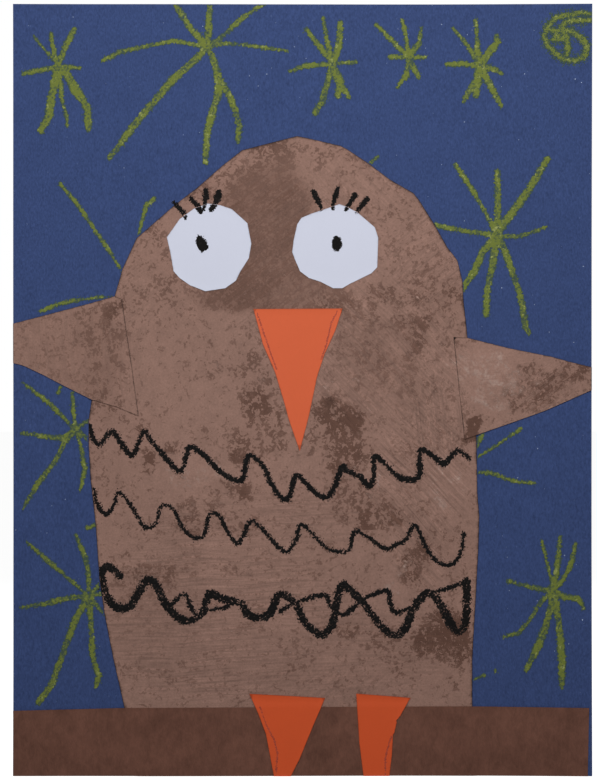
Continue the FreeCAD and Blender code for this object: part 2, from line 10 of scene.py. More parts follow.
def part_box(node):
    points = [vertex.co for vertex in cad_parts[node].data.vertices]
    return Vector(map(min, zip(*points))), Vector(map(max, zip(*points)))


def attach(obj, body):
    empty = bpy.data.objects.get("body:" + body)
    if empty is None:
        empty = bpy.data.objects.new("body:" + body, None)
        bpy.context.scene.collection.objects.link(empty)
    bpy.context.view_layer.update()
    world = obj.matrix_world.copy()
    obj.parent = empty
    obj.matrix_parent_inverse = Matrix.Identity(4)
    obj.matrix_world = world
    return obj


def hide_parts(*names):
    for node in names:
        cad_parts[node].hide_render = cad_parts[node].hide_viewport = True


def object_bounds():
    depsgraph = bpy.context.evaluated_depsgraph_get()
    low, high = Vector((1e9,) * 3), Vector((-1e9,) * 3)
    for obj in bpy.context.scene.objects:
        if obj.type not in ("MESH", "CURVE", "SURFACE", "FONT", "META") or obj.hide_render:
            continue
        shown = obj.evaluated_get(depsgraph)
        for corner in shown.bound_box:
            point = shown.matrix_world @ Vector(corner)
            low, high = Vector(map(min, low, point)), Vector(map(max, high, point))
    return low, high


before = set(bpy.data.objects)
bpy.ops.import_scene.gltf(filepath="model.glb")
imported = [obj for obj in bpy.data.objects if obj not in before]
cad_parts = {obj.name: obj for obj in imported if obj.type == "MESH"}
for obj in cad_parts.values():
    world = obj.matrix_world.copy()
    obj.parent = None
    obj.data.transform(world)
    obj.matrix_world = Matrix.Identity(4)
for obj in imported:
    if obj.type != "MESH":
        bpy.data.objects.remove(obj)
cad_low, cad_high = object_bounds()

bl_info = {
    "name": "Paper Owl Collage",
    "version": (1, 0, 0),
    "blender": (4, 5, 0),
    "location": "3D View > Sidebar > Owl Collage",
    "description": "Builds the cut papers, pastel marks and studio of a paper owl collage",
    "category": "Add Mesh",
}

MM = 0.001
WELD = 1e-6  # corners closer than this are one
TINY = 1e-15  # keeps a division from being by 0
CHUNK = 2048  # spots measured at a time
LATTICE = 97  # points along a side of the noise that repeats
FRONT_SLOPE = -0.3  # a face whose normal has a lower y than this faces front
LEVEL_STEP = 0.02 * MM  # levels closer than this are one
SHARP_ANGLE = math.radians(50)
ROW_SPACING = 0.87  # rows of points in a paper, as a share of the step along a row
EDGE_ROOM = 0.4  # how far the points keep from the outline, as a share of the step
BOW_SIZE = 95 * MM
RIPPLE_SIZE = 24 * MM
GLUE_GRID = 8 * MM

# The collage faces -Y. A level is a distance forward of the sheet's back, in metres, and a spot is
# an (x, z) place on the sheet.


def back_of(node):
    return -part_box(node)[1].y


def front_of(node):
    return -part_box(node)[0].y


sheet_half = Vector((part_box("backing_sheet")[1].x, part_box("backing_sheet")[1].z))
on_sheet = back_of("owl_body")
on_body = back_of("left_eye")
glue_thickness = on_body - front_of("owl_body")
on_strip = front_of("ground_strip") + glue_thickness
strip_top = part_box("ground_strip")[1].z

STEP_CLEARANCE = 0.2 * MM
STEP_RAMP = 2.0 * MM

# What each paper steps down over, and how far its edges lift: (rest of the edge, over the body)
PAPER_STEPS = {
    "left_wing": "body", "right_wing": "body", "ground_strip": "body",
    "left_leg": "strip", "right_leg": "strip",
}
EDGE_LIFTS = {
    "left_wing": (0.12 * MM, 0.07 * MM),
    "right_wing": (0.16 * MM, 0.08 * MM),
    "ground_strip": (0.28 * MM, 0.06 * MM),
    "left_leg": (0.30 * MM, 0.30 * MM),
    "right_leg": (0.30 * MM, 0.30 * MM),
    "left_eye": (0.16 * MM, 0.16 * MM),
    "right_eye": (0.16 * MM, 0.16 * MM),
    "beak": (0.26 * MM, 0.26 * MM),
}
EDGE_LIFT_REACH = 3.0 * MM
EDGE_LIFT_PATCH = 11 * MM
LEAST_LIFT = 0.55  # the lift where it is least, as a share of where it is most
BODY_FADE = 4 * MM  # how gradually a value changes at the body's edge
STRIP_FADE = 6 * MM
EDGE_PROBE = 0.6 * MM  # how far below a spot is looked at, to tell an edge that faces down
LOW_EDGE_WEAR_AND_SHADE = 0.66  # such an edge's darkening (wear and painted shade), as a share of the others'

# Patches of the painted paper, laid one over the other: x, z, half width and half height in mm,
# turn in degrees, and how much of the patch the dark paint covers
DARK_PATCHES = [
    (-26, 85, 22, 16, 20, 0.60), (-12, 60, 22, 24, 0, 0.72), (-30, 90, 8, 6, 40, 0.40),
    (-22, 40, 17, 9, -12, 0.80), (4, 36, 18, 9, 0, 0.55), (12, 91, 16, 8, -20, 0.46),
    (16, 84, 10, 6, -20, 0.30), (32, 76, 16, 12, -40, 0.30), (48, 60, 15, 14, -50, 0.36),
    (46, 35, 17, 12, -20, 0.44), (54, 38, 6, 6, 0, 0.55), (-61, 46, 12, 18, -20, 0.40),
    (-68, 30, 9, 16, -15, 0.36), (-42, 20, 26, 15, 0, 0.26), (-48, -4, 18, 12, 0, 0.16),
    (-20, 6, 9, 7, 10, 0.50), (-14, -6, 9, 12, 20, 0.42), (-22, -5, 6, 5, -20, 0.78),
    (-16, -16, 8, 8, 30, 0.56), (-31, -19, 9, 6, 0, 0.32), (-20, -22, 5, 4, 20, 0.70),
    (-61, -28, 4, 7, 10, 0.84), (-50, -21, 4, 4, 0, 0.72), (-66, -15, 3, 3, 0, 0.60),
    (-45, -34, 7, 8, 0, 0.08), (-47, -35, 3, 2, 0, 0.60), (-26, -38, 7, 3, 10, 0.62),
    (30, 14, 26, 6, -48, 0.52), (34, 26, 16, 4, -30, 0.52), (46, 18, 6, 8, -20, 0.58),
    (18, 22, 8, 12, -30, 0.44), (44, 0, 12, 10, -40, 0.34), (12, -12, 8, 8, -20, 0.92),
    (17, -25, 8, 9, -30, 0.72), (4, -18, 5, 8, 0, 0.50), (54, -16, 10, 14, 0, 0.30),
    (36, -15, 12, 7, -48, 0.26), (24, -44, 13, 9, 0, 0.52), (46, -42, 7, 12, -62, 0.34),
    (59, -38, 8, 12, 0, 0.10), (30, -50, 9, 5, 0, 0.64), (46, -66, 5, 9, -20, 0.70),
    (36, -78, 7, 6, 0, 0.10), (58, -98, 12, 13, 0, 0.84), (38, -102, 8, 8, 0, 0.44),
    (17, -94, 8, 4, 0, 0.62), (-62, -72, 14, 5, 0, 0.50), (-66, -78, 14, 4, 0, 0.44),
    (-38, -51, 20, 6, 0, 0.46), (-44, -110, 28, 16, 0, 0.22), (16, -112, 24, 8, 0, 0.24),
    (59, -117, 4, 2, 0, 0.60),
    (-92, 16, 26, 20, 0, 0.30), (-80, 14, 9, 24, 8, 0.50), (-77, 34, 4, 4, 0, 0.72),
    (82, 6, 20, 14, 0, 0.10), (90, 2, 9, 7, 28, 0.56), (101, 7, 9, 5, 20, 0.66),
    (64.5, -13, 4, 3, 30, 0.94),
]
# Where the paint is thin or pale: x, z, half width, half height, turn, and strength
PALE_PATCHES = [
    (-45, -35, 3, 5, 20, 1.0), (-48, -26, 5, 3, 0, 0.4), (60, -36, 7, 10, 0, 0.35),
    (38, -78, 4, 4, 0, 0.55), (-34, 92, 8, 3, 30, 0.5), (26, -34, 12, 5, -20, 0.35),
    (-40, -34, 16, 6, 0, 0.35), (44, -66, 2, 8, -30, 0.5),
    (76, 4, 16, 12, 0, 0.45),
]
# Where the dark paint is brushed out smooth, not dabbed: the same numbers
BRUSHED_PATCHES = [
    (-12, 62, 20, 28, 0, 0.80), (-10, 40, 30, 10, 0, 0.75), (30, 12, 22, 16, -48, 0.35),
    (-60, -90, 30, 14, 0, 0.3), (-94, 14, 26, 20, 0, 0.4),
]
# Where brush strokes show: x, z, half width, half height, turn, and strength
LEVEL_STROKES = [
    (-34, -90, 46, 34, 0, 1.0), (-20, -52, 46, 12, 0, 0.7), (20, -104, 40, 18, 0, 0.6),
    (84, 4, 14, 12, 0, 0.3),
]
FALLING_STROKES = [
    (28, 14, 34, 30, 0, 1.0), (46, -34, 20, 26, 0, 1.0), (46, -66, 10, 14, 0, 1.0),
    (20, 80, 24, 12, 0, 0.6),
]
RISING_STROKES = [
    (-14, 56, 24, 34, 0, 0.8), (50, 52, 16, 20, 0, 0.7), (97, -1, 11, 11, 0, 1.0),
    (-66, 36, 10, 18, 0, 0.4), (0, -116, 34, 8, 0, 0.4),
]
UPRIGHT_STROKES = [(54, -12, 12, 18, 0, 1.0), (-90, 12, 26, 20, 0, 0.5)]

DARK_SHARE = 0.24  # the dark paint's share where there is no patch
# A patch covers fully up to the first of these distances from its centre and ends at the second,
# as shares of its half width. Waves shift its outline: size, reach and seed.
PATCH_FULL, PATCH_END = 0.75, 1.25
PATCH_WAVES = ((15 * MM, 9 * MM, 31), (6 * MM, 5 * MM, 35))

# How heavily each pastel mark is drawn: 1 and more is solid, less shows the paper's tooth
MARK_PRESSURE = {
    "star_01": 1.06, "star_02": 0.90, "star_03": 0.96, "star_04": 1.00, "star_05": 1.02,
    "star_06": 0.96, "star_07": 0.96, "star_08": 0.96, "star_09": 0.96, "star_10": 0.94,
    "star_11": 0.92, "star_12": 0.98, "star_13": 1.02, "sky_spiral": 1.50,
    "feather_row_top": 1.22, "feather_row_middle": 1.07, "feather_row_bottom": 1.04,
    "left_lashes": 1.17, "right_lashes": 1.16, "left_pupil": 1.25, "right_pupil": 1.18,
}
STAR_MARKS = ["star_%02d" % number for number in range(1, 14)] + ["sky_spiral"]
FEATHER_MARKS = ["feather_row_top", "feather_row_middle", "feather_row_bottom"]
EYE_MARKS = ["left_lashes", "right_lashes", "left_pupil", "right_pupil"]
PENCIL_MARKS = ["beak_pencil_lines", "left_leg_pencil_line", "right_leg_pencil_line"]
PAPER_UNDER = {
    "left_pupil": "left_eye", "right_pupil": "right_eye", "beak_pencil_lines": "beak",
    "left_leg_pencil_line": "left_leg", "right_leg_pencil_line": "right_leg",
}
SHEET_COVERS = ("owl_body", "left_wing", "right_wing", "ground_strip")
BODY_COVERS = (
    "left_wing", "right_wing", "ground_strip", "beak", "left_leg", "right_leg", "left_eye",
    "right_eye",
)
GLUE_FILMS = [
    "body_glue", "left_wing_glue", "right_wing_glue", "strip_glue", "left_leg_glue",
    "right_leg_glue", "left_eye_glue", "right_eye_glue", "beak_glue",
]

MARK_OVERHANG = 0.42  # how far a mark runs past its outline, as a share of its broken edge
MARK_DRAG_SIZE = 5.5 * MM  # length of the stretches that are drawn heavier or lighter
MARK_GAP = 0.3  # how far a mark keeps from a paper that covers it, in cells
FULL_PRESS = 0.8  # the field at which a mark is pressed on fully
LEAST_WAX = 0.3  # thickness of the lightest pastel, as a share of the heaviest
LEAST_FIELD = 0.02  # a grid point's field is kept this far from 0, so that no sliver is made

# The looks of construction paper, and of the smoother orange and white papers
COARSE_PAPER = {
    "roughness": 0.92, "specular": 0.06, "fibre_size": 0.62 * MM, "fleck_cover": 0.35,
    "edge_wear_and_shade": 0.0, "bump": 0.06 * MM,
}
SMOOTH_PAPER = {
    "roughness": 0.62, "specular": 0.12, "fibre_size": 0.70 * MM, "fleck_cover": 0.20,
    "edge_wear_and_shade": 0.35, "bump": 0.02 * MM,
}
# The painted paper's brush strokes: where they are, their turn and the spacing of their hairs
BRUSHES = (
    ("level_strokes", 0.04, 0.8 * MM), ("falling_strokes", -0.80, 1.0 * MM),
    ("rising_strokes", 0.66, 0.9 * MM), ("upright_strokes", -1.46, 1.1 * MM),
)
BRUSH_LENGTH = 28 * MM
BRUSH_SWAY = 3.5 * MM

# Scattered bits: how far their corners are chipped, and their length as a share of their height
CHIP = 0.35
BIT_LENGTHS = (0.6, 1.7)

# The studio, in metres
FLOOR_HALF = 6.0
LAMP_SIZE = (0.34, 0.22)
LAMP_AIM = Vector((0.0, 0.0, 0.02))
KEY_PLACE = Vector((0.0, -0.44, 0.26))
FILL_PLACE = Vector((0.0, 0.60, 0.26))


# ---- Settings -------------------------------------------------------------------------------

def colour_setting(name, description, default):
    return FloatVectorProperty(name=name, description=description, subtype="COLOR", size=3,
                               min=0.0, max=1.0, default=default)


def length_setting(name, description, default):
    return FloatProperty(name=name, description=description, default=default, min=0.0,
                         unit="LENGTH", precision=5)


class CollagePaperSettings(bpy.types.PropertyGroup):
    """Sizes and colours of the papers"""

    grid: length_setting("Paper grid", "Spacing of the points in a cut paper", 2.4 * MM)
    sheet_grid: length_setting("Sheet grid", "Spacing of the points in the blue sheet", 3.6 * MM)
    bow: length_setting("Bow", "How far the sheet's broad waves come forward", 1.1 * MM)
    ripple: length_setting("Ripple", "Height of the small waves that glue leaves", 0.12 * MM)
    corner_curl: length_setting("Corner curl", "How far the corners curl forward", 0.9 * MM)
    blue: colour_setting("Blue sheet", "Blue construction paper", (0.040, 0.064, 0.165))
    light_paint: colour_setting("Light paint", "Light brown of the painted paper",
                                (0.277, 0.162, 0.128))
    dark_paint: colour_setting("Dark paint", "Dark brown of the painted paper",
                               (0.112, 0.056, 0.040))
    brown: colour_setting("Brown strip", "Brown construction paper", (0.143, 0.065, 0.046))
    orange: colour_setting("Orange paper", "Beak paper", (0.64, 0.118, 0.045))
    leg_orange: colour_setting("Leg paper", "Leg paper, a little redder", (0.60, 0.086, 0.024))
    pale_paint: colour_setting("Pale paint", "Where the light brown is thinnest",
                               (0.36, 0.245, 0.205))
    white: colour_setting("White paper", "Eye paper", (0.60, 0.62, 0.73))
    glue: colour_setting("Glue", "Dried glue stick", (0.62, 0.60, 0.55))


class CollageMarkSettings(bpy.types.PropertyGroup):
    """Sizes and colours of the pastel and pencil marks"""

    cell: length_setting("Mark grid", "Spacing of the points in a pastel mark", 0.27 * MM)
    tooth: length_setting("Tooth", "Size of the paper's tooth that breaks up a mark", 0.6 * MM)
    edge: length_setting("Edge", "Width of a mark's broken edge", 1.25 * MM)
    wax: length_setting("Wax", "Thickness of heavy pastel", 0.16 * MM)
    green_thick: colour_setting("Green", "Heavy green pastel", (0.147, 0.178, 0.038))
    green_thin: colour_setting("Thin green", "Green pastel rubbed thin on blue",
                               (0.052, 0.080, 0.062))
    blue_green: colour_setting("Green dust", "Green pastel dust on blue", (0.064, 0.100, 0.052))
    # Piled green pastel is drawn lighter: partly the wax's own colour, partly a painted highlight
    green_ridge_highlight: colour_setting("Green ridges", "Where green pastel is piled up",
                                (0.300, 0.330, 0.115))
    black: colour_setting("Black", "Black pastel", (0.0085, 0.0078, 0.0076))
    black_thin: colour_setting("Thin black", "Black pastel rubbed thin", (0.020, 0.017, 0.016))
    graphite: colour_setting("Pencil", "Pencil on orange paper", (0.36, 0.062, 0.036))


class CollageStageSettings(bpy.types.PropertyGroup):
    """The camera and the lights"""

    camera_distance: length_setting("Camera distance", "From the collage to the lens", 0.728)
    camera_side: FloatProperty(name="Camera side", default=-1.6 * MM, unit="LENGTH",
                               description="How far the camera stands to the right of the middle")
    lens: FloatProperty(name="Lens", description="Focal length in millimetres", default=85.0)
    key_power: FloatProperty(name="Key light", description="Soft light above the collage",
                             default=2.3, unit="POWER")
    fill_power: FloatProperty(name="Fill light", description="Soft light behind the collage",
                              default=1.2, unit="POWER")
    sky: FloatProperty(name="Sky", description="Strength of the light from all round", default=0.12)
    backdrop: colour_setting("Backdrop", "What shows behind the collage", (1.0, 1.0, 1.0))
    floor: colour_setting("Floor", "Pale floor", (0.55, 0.55, 0.545))
    floor_glow: FloatProperty(name="Floor glow", default=0.9,
                              description="How much paler the floor looks to the camera")


# ---- Shapes from the frame ------------------------------------------------------------------

def front_runs(node):
    """The outline of a CAD node seen from in front: straight runs, and the level of each one."""
    work = bmesh.new()
    work.from_mesh(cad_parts[node].data)
    bmesh.ops.remove_doubles(work, verts=work.verts, dist=WELD)
    work.normal_update()
    runs, levels = [], []
    for edge in work.edges:
        facing = [face for face in edge.link_faces if face.normal.y < FRONT_SLOPE]
        if len(facing) == 1:
            a, b = (v.co for v in edge.verts)
            runs.append(((a.x, a.z), (b.x, b.z)))
            levels.append(-(a.y + b.y) / 2)
    work.free()
    return np.array(runs), np.array(levels)


def level_groups(node):
    """A flat node's outline, as one set of runs for each level that it has a face at."""
    runs, levels = front_runs(node)
    steps = np.round(levels / LEVEL_STEP).astype(int)
    return [(levels[steps == s].mean(), runs[steps == s]) for s in sorted(set(steps))]


def depth_inside(runs, spots):
    """How far inside an outline each spot is. It is negative outside."""
    a, b = runs[:, 0], runs[:, 1]
    along = b - a
    length2 = np.maximum((along ** 2).sum(1), 1e-18)
    depth = np.empty(len(spots))
    for start in range(0, len(spots), CHUNK):
        p = spots[start:start + CHUNK, None, :]
        share = np.clip(((p - a) * along).sum(2) / length2, 0, 1)
        gap = np.sqrt(((p - a - share[..., None] * along) ** 2).sum(2).min(1))
        spans = (a[:, 1] > p[..., 1]) != (b[:, 1] > p[..., 1])
        rise = np.where(np.abs(along[:, 1]) < TINY, TINY, along[:, 1])
        crossing = a[:, 0] + along[:, 0] * (p[..., 1] - a[:, 1]) / rise
        inside = (spans & (p[..., 0] < crossing)).sum(1) % 2 == 1
        depth[start:start + CHUNK] = np.where(inside, gap, -gap)
    return depth


outlines = {}


def depth_in(node, spots):
    if node not in outlines:
        outlines[node] = front_runs(node)[0]
    return depth_inside(outlines[node], spots)


def smooth_step(value):
    value = np.clip(value, 0, 1)
    return value * value * (3 - 2 * value)


def cloud(spots, size, seed):
    """Soft noise from 0 to 1, with patches about as large as size."""
    lattice = np.random.default_rng(seed).random((LATTICE, LATTICE))
    place = spots / size + LATTICE / 2
    cell = np.floor(place).astype(int)
    u, v = smooth_step(place - cell).T
    i, j = (cell % LATTICE).T
    i2, j2 = (i + 1) % LATTICE, (j + 1) % LATTICE
    low = lattice[i, j] * (1 - u) + lattice[i2, j] * u
    high = lattice[i, j2] * (1 - u) + lattice[i2, j2] * u
    return low * (1 - v) + high * v


def grainy(spots, size, seed):
    """Noise from 0 to 1 with finer noise in it."""
    return (0.6 * cloud(spots, size, seed) + 0.4 * cloud(spots, size * 0.47, seed + 1))


def bow_at(spots):
    """How far forward the whole collage bows at each spot, as a glued sheet does."""
    papers = bpy.context.scene.collage_papers
    corner = (np.abs(spots[:, 0] / sheet_half.x) * np.abs(spots[:, 1] / sheet_half.y)) ** 3
    broad = cloud(spots, BOW_SIZE, 4) - 0.5
    small = cloud(spots, RIPPLE_SIZE, 9) - 0.5
    return papers.bow * broad + papers.ripple * small + papers.corner_curl * corner


def lift_at(paper, spots):
    """How far a paper's edge lifts off what it is glued to."""
    if paper not in EDGE_LIFTS:
        return np.zeros(len(spots))
    outer, inner = EDGE_LIFTS[paper]
    near = np.clip(1 - depth_in(paper, spots) / EDGE_LIFT_REACH, 0, 1)
    over_body = smooth_step(depth_in("owl_body", spots) / BODY_FADE)
    amount = outer * (1 - over_body) + inner * over_body
    if paper == "ground_strip":
        amount = amount * smooth_step((spots[:, 1] - strip_top) / STRIP_FADE + 1)
    return amount * near ** 2 * (LEAST_LIFT + (1 - LEAST_LIFT) * cloud(spots, EDGE_LIFT_PATCH, 21))


def rest_at(paper, spots):
    """The level of a paper's back, where it rests on the papers under it."""
    low = back_of(paper)
    if paper not in PAPER_STEPS:
        return np.full(len(spots), low)
    if PAPER_STEPS[paper] == "body":
        high, inside = on_body, depth_in("owl_body", spots)
    else:
        high, inside = on_strip, strip_top - spots[:, 1]
    return low + (high - low) * smooth_step((inside + STEP_CLEARANCE + STEP_RAMP) / STEP_RAMP)


def thickness_of(paper):
    high = {"body": on_body, "strip": on_strip}.get(PAPER_STEPS.get(paper), back_of(paper))
    return front_of(paper) - high


def filled(runs, step):
    """Points and triangles that fill an outline, about a step apart."""
    points, edges = [], []
    for a, b in runs:
        count = max(1, int(math.ceil(np.linalg.norm(b - a) / step)))
        for k in range(count):
            edges.append((len(points), len(points) + 1))
            points += [a + (b - a) * k / count, a + (b - a) * (k + 1) / count]
    low, high = runs.reshape(-1, 2).min(0), runs.reshape(-1, 2).max(0)
    columns = np.arange(low[0] + step / 2, high[0], step)
    rows = np.arange(low[1] + step / 2, high[1], step * ROW_SPACING)
    across, up = np.meshgrid(columns, rows)
    across = across + np.where(np.arange(len(rows)) % 2, step / 2, 0)[:, None]
    inner = np.stack([across.ravel(), up.ravel()], 1)
    inner = inner[depth_inside(runs, inner) > EDGE_ROOM * step]
    corners = [Vector(p) / MM for p in points] + [Vector(p) / MM for p in inner]
    made = delaunay_2d_cdt(corners, edges, [], 1, 1e-4)
    spots = np.array([tuple(v) for v in made[0]]) * MM
    triangles = np.array([face for face in made[2] if len(face) == 3])
    return spots, facing_front(spots, triangles)


def facing_front(spots, triangles):
    a, b, c = (spots[triangles[:, k]] for k in range(3))
    area = (b[:, 0] - a[:, 0]) * (c[:, 1] - a[:, 1]) - (b[:, 1] - a[:, 1]) * (c[:, 0] - a[:, 0])
    flipped = np.where((area < 0)[:, None], triangles[:, ::-1], triangles)
    return flipped[np.abs(area) > 1e-16]


def in_scene(name, data):
    made = bpy.data.objects.new(name, data)
    bpy.context.scene.collection.objects.link(made)
    return made


def spots_of(mesh):
    return np.array([(corner.co.x, corner.co.z) for corner in mesh.vertices])


def store(mesh, key, numbers):
    """Keeps a number for each point, under the name that a material or a tree reads it by."""
    values = np.asarray(numbers, np.float32)
    mesh.attributes.new(key, "FLOAT", "POINT").data.foreach_set("value", values)


def solid(node, kind, parts, material, values):
    """A closed piece that stands for a CAD node. It is made of flat parts, each with its spots,
    triangles, front and back levels, and values holds lists of numbers for the parts' spots."""
    corners, faces, shift = [], [], 0
    for spots, triangles, front, back in parts:
        count = len(spots)
        bow = bow_at(spots)
        corners.append(np.column_stack([spots[:, 0], -(front + bow), spots[:, 1]]))
        corners.append(np.column_stack([spots[:, 0], -(back + bow), spots[:, 1]]))
        edges = np.concatenate([triangles[:, [0, 1]], triangles[:, [1, 2]], triangles[:, [2, 0]]])
        rim = edges[~np.isin(edges[:, 0] * count + edges[:, 1], edges[:, 1] * count + edges[:, 0])]
        wall = np.column_stack([rim[:, 1], rim[:, 0], rim[:, 0] + count, rim[:, 1] + count])
        faces += (triangles + shift).tolist()
        faces += (triangles[:, ::-1] + count + shift).tolist()
        faces += (wall + shift).tolist()
        shift += 2 * count
    mesh = bpy.data.meshes.new(node + kind)
    mesh.from_pydata(np.concatenate(corners).tolist(), [], faces)
    mesh.shade_smooth()
    mesh.set_sharp_from_angle(angle=SHARP_ANGLE)
    for key, numbers in values.items():
        store(mesh, key, np.concatenate([np.tile(part, 2) for part in numbers]))
    mesh.materials.append(material)
    piece = in_scene(node + kind, mesh)
    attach(piece, "root")
    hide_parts(node)


def cut_paper(node, material, step, paint=None):
    """A sheet of paper cut to a CAD node's outline, draped over the papers under it."""
    spots, triangles = filled(front_runs(node)[0], step)
    back = rest_at(node, spots) + lift_at(node, spots)
    values = {key: [numbers] for key, numbers in (paint(spots) if paint else {}).items()}
    # Cut edges are darkened in the materials, partly as wear and partly as painted shade where the
    # edge meets the paper under it. Edges that face down get less, since the lamp's own shadow
    # already falls below them.
    faces_down = depth_in(node, spots - (0, EDGE_PROBE)) < -EDGE_PROBE / 2
    wear_and_shade = np.where(faces_down, LOW_EDGE_WEAR_AND_SHADE, 1.0)
    values["cut_edge"] = [(depth_in(node, spots) < WELD) * wear_and_shade]
    part = (spots, triangles, back + thickness_of(node), back)
    solid(node, "_paper", [part], material, values)


def patches(spots, rows, start=0.0):
    """A value over the sheet, from soft-edged patches laid one over the other."""
    value = np.full(len(spots), start)
    for x, z, wide, high, turn, share in rows:
        c, s = math.cos(math.radians(turn)), math.sin(math.radians(turn))
        dx, dz = spots[:, 0] - x * MM, spots[:, 1] - z * MM
        u, v = (c * dx + s * dz) / (wide * MM), (c * dz - s * dx) / (high * MM)
        cover = smooth_step((PATCH_END - np.sqrt(u * u + v * v)) / (PATCH_END - PATCH_FULL))
        value = value * (1 - cover) + share * cover
    return value


def ragged(spots):
    """Spots shifted about a little, so that a patch looked up at them has an uneven outline."""
    shifted = spots.copy()
    for size, reach, seed in PATCH_WAVES:
        shifted[:, 0] += reach * (cloud(spots, size, seed) - 0.5)
        shifted[:, 1] += reach * (cloud(spots, size, seed + 1) - 0.5)
    return shifted


def paint_values(spots):
    uneven = ragged(spots)
    return {
        "dark_share": patches(uneven, DARK_PATCHES, DARK_SHARE),
        "pale": patches(uneven, PALE_PATCHES),
        "brushed": patches(uneven, BRUSHED_PATCHES),
        "level_strokes": patches(spots, LEVEL_STROKES),
        "falling_strokes": patches(spots, FALLING_STROKES),
        "rising_strokes": patches(spots, RISING_STROKES),
        "upright_strokes": patches(spots, UPRIGHT_STROKES),
    }


# ---- Marks ----------------------------------------------------------------------------------

def positive_part(field, across, up):
    """The part of a grid where a field is above 0, as spots, triangles and the field there."""
    columns = len(across)
    place = np.stack(np.meshgrid(across, up), -1).reshape(-1, 2)
    height = field.ravel()
    height = np.where(np.abs(height) < LEAST_FIELD, LEAST_FIELD, height)
    start = (np.arange(len(up) - 1)[:, None] * columns + np.arange(columns - 1)).ravel()
    corners = [start, start + 1, start + columns + 1, start + columns]
    tri = np.concatenate([np.column_stack([corners[0], corners[1], corners[2]]),
                          np.column_stack([corners[0], corners[2], corners[3]])])
    above = height[tri] > 0
    count = above.sum(1)
    whole = tri[count == 3]
    keys = [np.stack([whole, whole], -1)]
    for wanted in (1, 2):
        some, flags = tri[count == wanted], above[count == wanted]
        odd = np.argmax(flags if wanted == 1 else ~flags, axis=1)
        row = np.arange(len(some))
        a, b, c = (some[row, (odd + k) % 3] for k in range(3))
        aa, bb, cc = (np.stack([k, k], -1) for k in (a, b, c))
        ab = np.stack([np.minimum(a, b), np.maximum(a, b)], -1)
        ac = np.stack([np.minimum(a, c), np.maximum(a, c)], -1)
        if wanted == 1:
            keys.append(np.stack([aa, ab, ac], 1))
        else:
            keys.append(np.stack([ab, bb, cc], 1))
            keys.append(np.stack([ab, cc, ac], 1))
    keys = np.concatenate(keys).reshape(-1, 2)
    unique, index = np.unique(keys, axis=0, return_inverse=True)
    a, b = unique.T
    gap = np.where(a == b, 1.0, height[a] - height[b])
    share = np.where(a == b, 0.0, height[a] / gap)
    spots = place[a] + (place[b] - place[a]) * share[:, None]
    value = height[a] + (height[b] - height[a]) * share
    return spots, index.reshape(-1, 3), value


def bare_room(paper, base, spots):
    """How far inside the bare part of the paper that a mark is drawn on each spot is."""
    covers = ()
    if paper is None and base < on_sheet:
        paper, covers = "backing_sheet", SHEET_COVERS
    elif paper is None:
        paper, covers = "owl_body", BODY_COVERS
    room = depth_in(paper, spots)
    for cover in covers:
        room = np.minimum(room, -depth_in(cover, spots))
    return room


def mark_part(runs, cell, edge, tooth, pressure, rough, swing, seed, paper, base):
    """One level of a drawn mark: its outline, broken up by the paper's tooth."""
    low, high = runs.reshape(-1, 2).min(0) - 3 * cell, runs.reshape(-1, 2).max(0) + 3 * cell
    across = np.arange(low[0], high[0] + cell, cell)
    up = np.arange(low[1], high[1] + cell, cell)
    spots = np.stack(np.meshgrid(across, up), -1).reshape(-1, 2)
    depth = depth_inside(runs, spots) + MARK_OVERHANG * edge
    drag = swing * (cloud(spots, MARK_DRAG_SIZE, seed) - 0.5)
    grain = rough * (grainy(spots, tooth, seed + 3) - 0.5) + 0.5
    field = np.clip(depth / edge, -1, 1) + pressure + drag - grain - 1
    shown = field > 0
    room = bare_room(paper, base, spots[shown]) / cell
    field[shown] = np.minimum(field[shown], 2 * (room - MARK_GAP))
    return positive_part(field.reshape(len(up), len(across)), across, up)


def drawn_mark(node, material, rough=1.9, swing=0.45, scale=1.0, wax_scale=1.0):
    """A pastel or pencil mark over a CAD node's outline, on whichever papers it crosses."""
    marks = bpy.context.scene.collage_marks
    seed = sum(ord(letter) * (place + 1) for place, letter in enumerate(node))
    mark_thickness = front_of(node) - back_of(node)
    parts, thick = [], []
    for level, runs in level_groups(node):
        paper = PAPER_UNDER.get(node)
        if node.endswith("lashes"):
            mark_thickness = min(mark_thickness, front_of("left_pupil") - back_of("left_pupil"))
            if level > on_body + mark_thickness:
                paper = node.replace("lashes", "eye")
        base = level - mark_thickness
        spots, triangles, field = mark_part(
            runs, marks.cell * scale, marks.edge * scale, marks.tooth * scale,
            MARK_PRESSURE.get(node, 1.0), rough, swing, seed, paper, base)
        if not len(triangles):
            continue
        base = base + (lift_at(paper, spots) if paper else np.zeros(len(spots)))
        press = np.clip(field / FULL_PRESS, 0, 1)
        lumps = 0.75 + 0.5 * cloud(spots, marks.tooth, seed + 8)
        height = marks.wax * wax_scale * (LEAST_WAX + (1 - LEAST_WAX) * press) * lumps
        parts.append((spots, triangles, base + height, base))
        thick.append(press)
    solid(node, "_mark", parts, material, {"press": thick})


def glue_film(node, material):
    """A thin film of glue that follows the papers it joins."""
    parts = []
    for level, runs in level_groups(node):
        spots, triangles = filled(runs, GLUE_GRID)
        front = np.full(len(spots), level)
        parts.append((spots, triangles, front, front - glue_thickness))
    solid(node, "_film", parts, material, {})


# ---- Node trees -----------------------------------------------------------------------------

def add_node(tree, kind, inputs=None, **settings):
    """Adds a node, with its settings, and sets or links its inputs."""
    made = tree.nodes.new(kind)
    for name, value in settings.items():
        setattr(made, name, value)
    for name, value in (inputs or {}).items():
        if isinstance(value, bpy.types.NodeSocket):
            tree.links.new(value, made.inputs[name])
        else:
            made.inputs[name].default_value = value
    return made


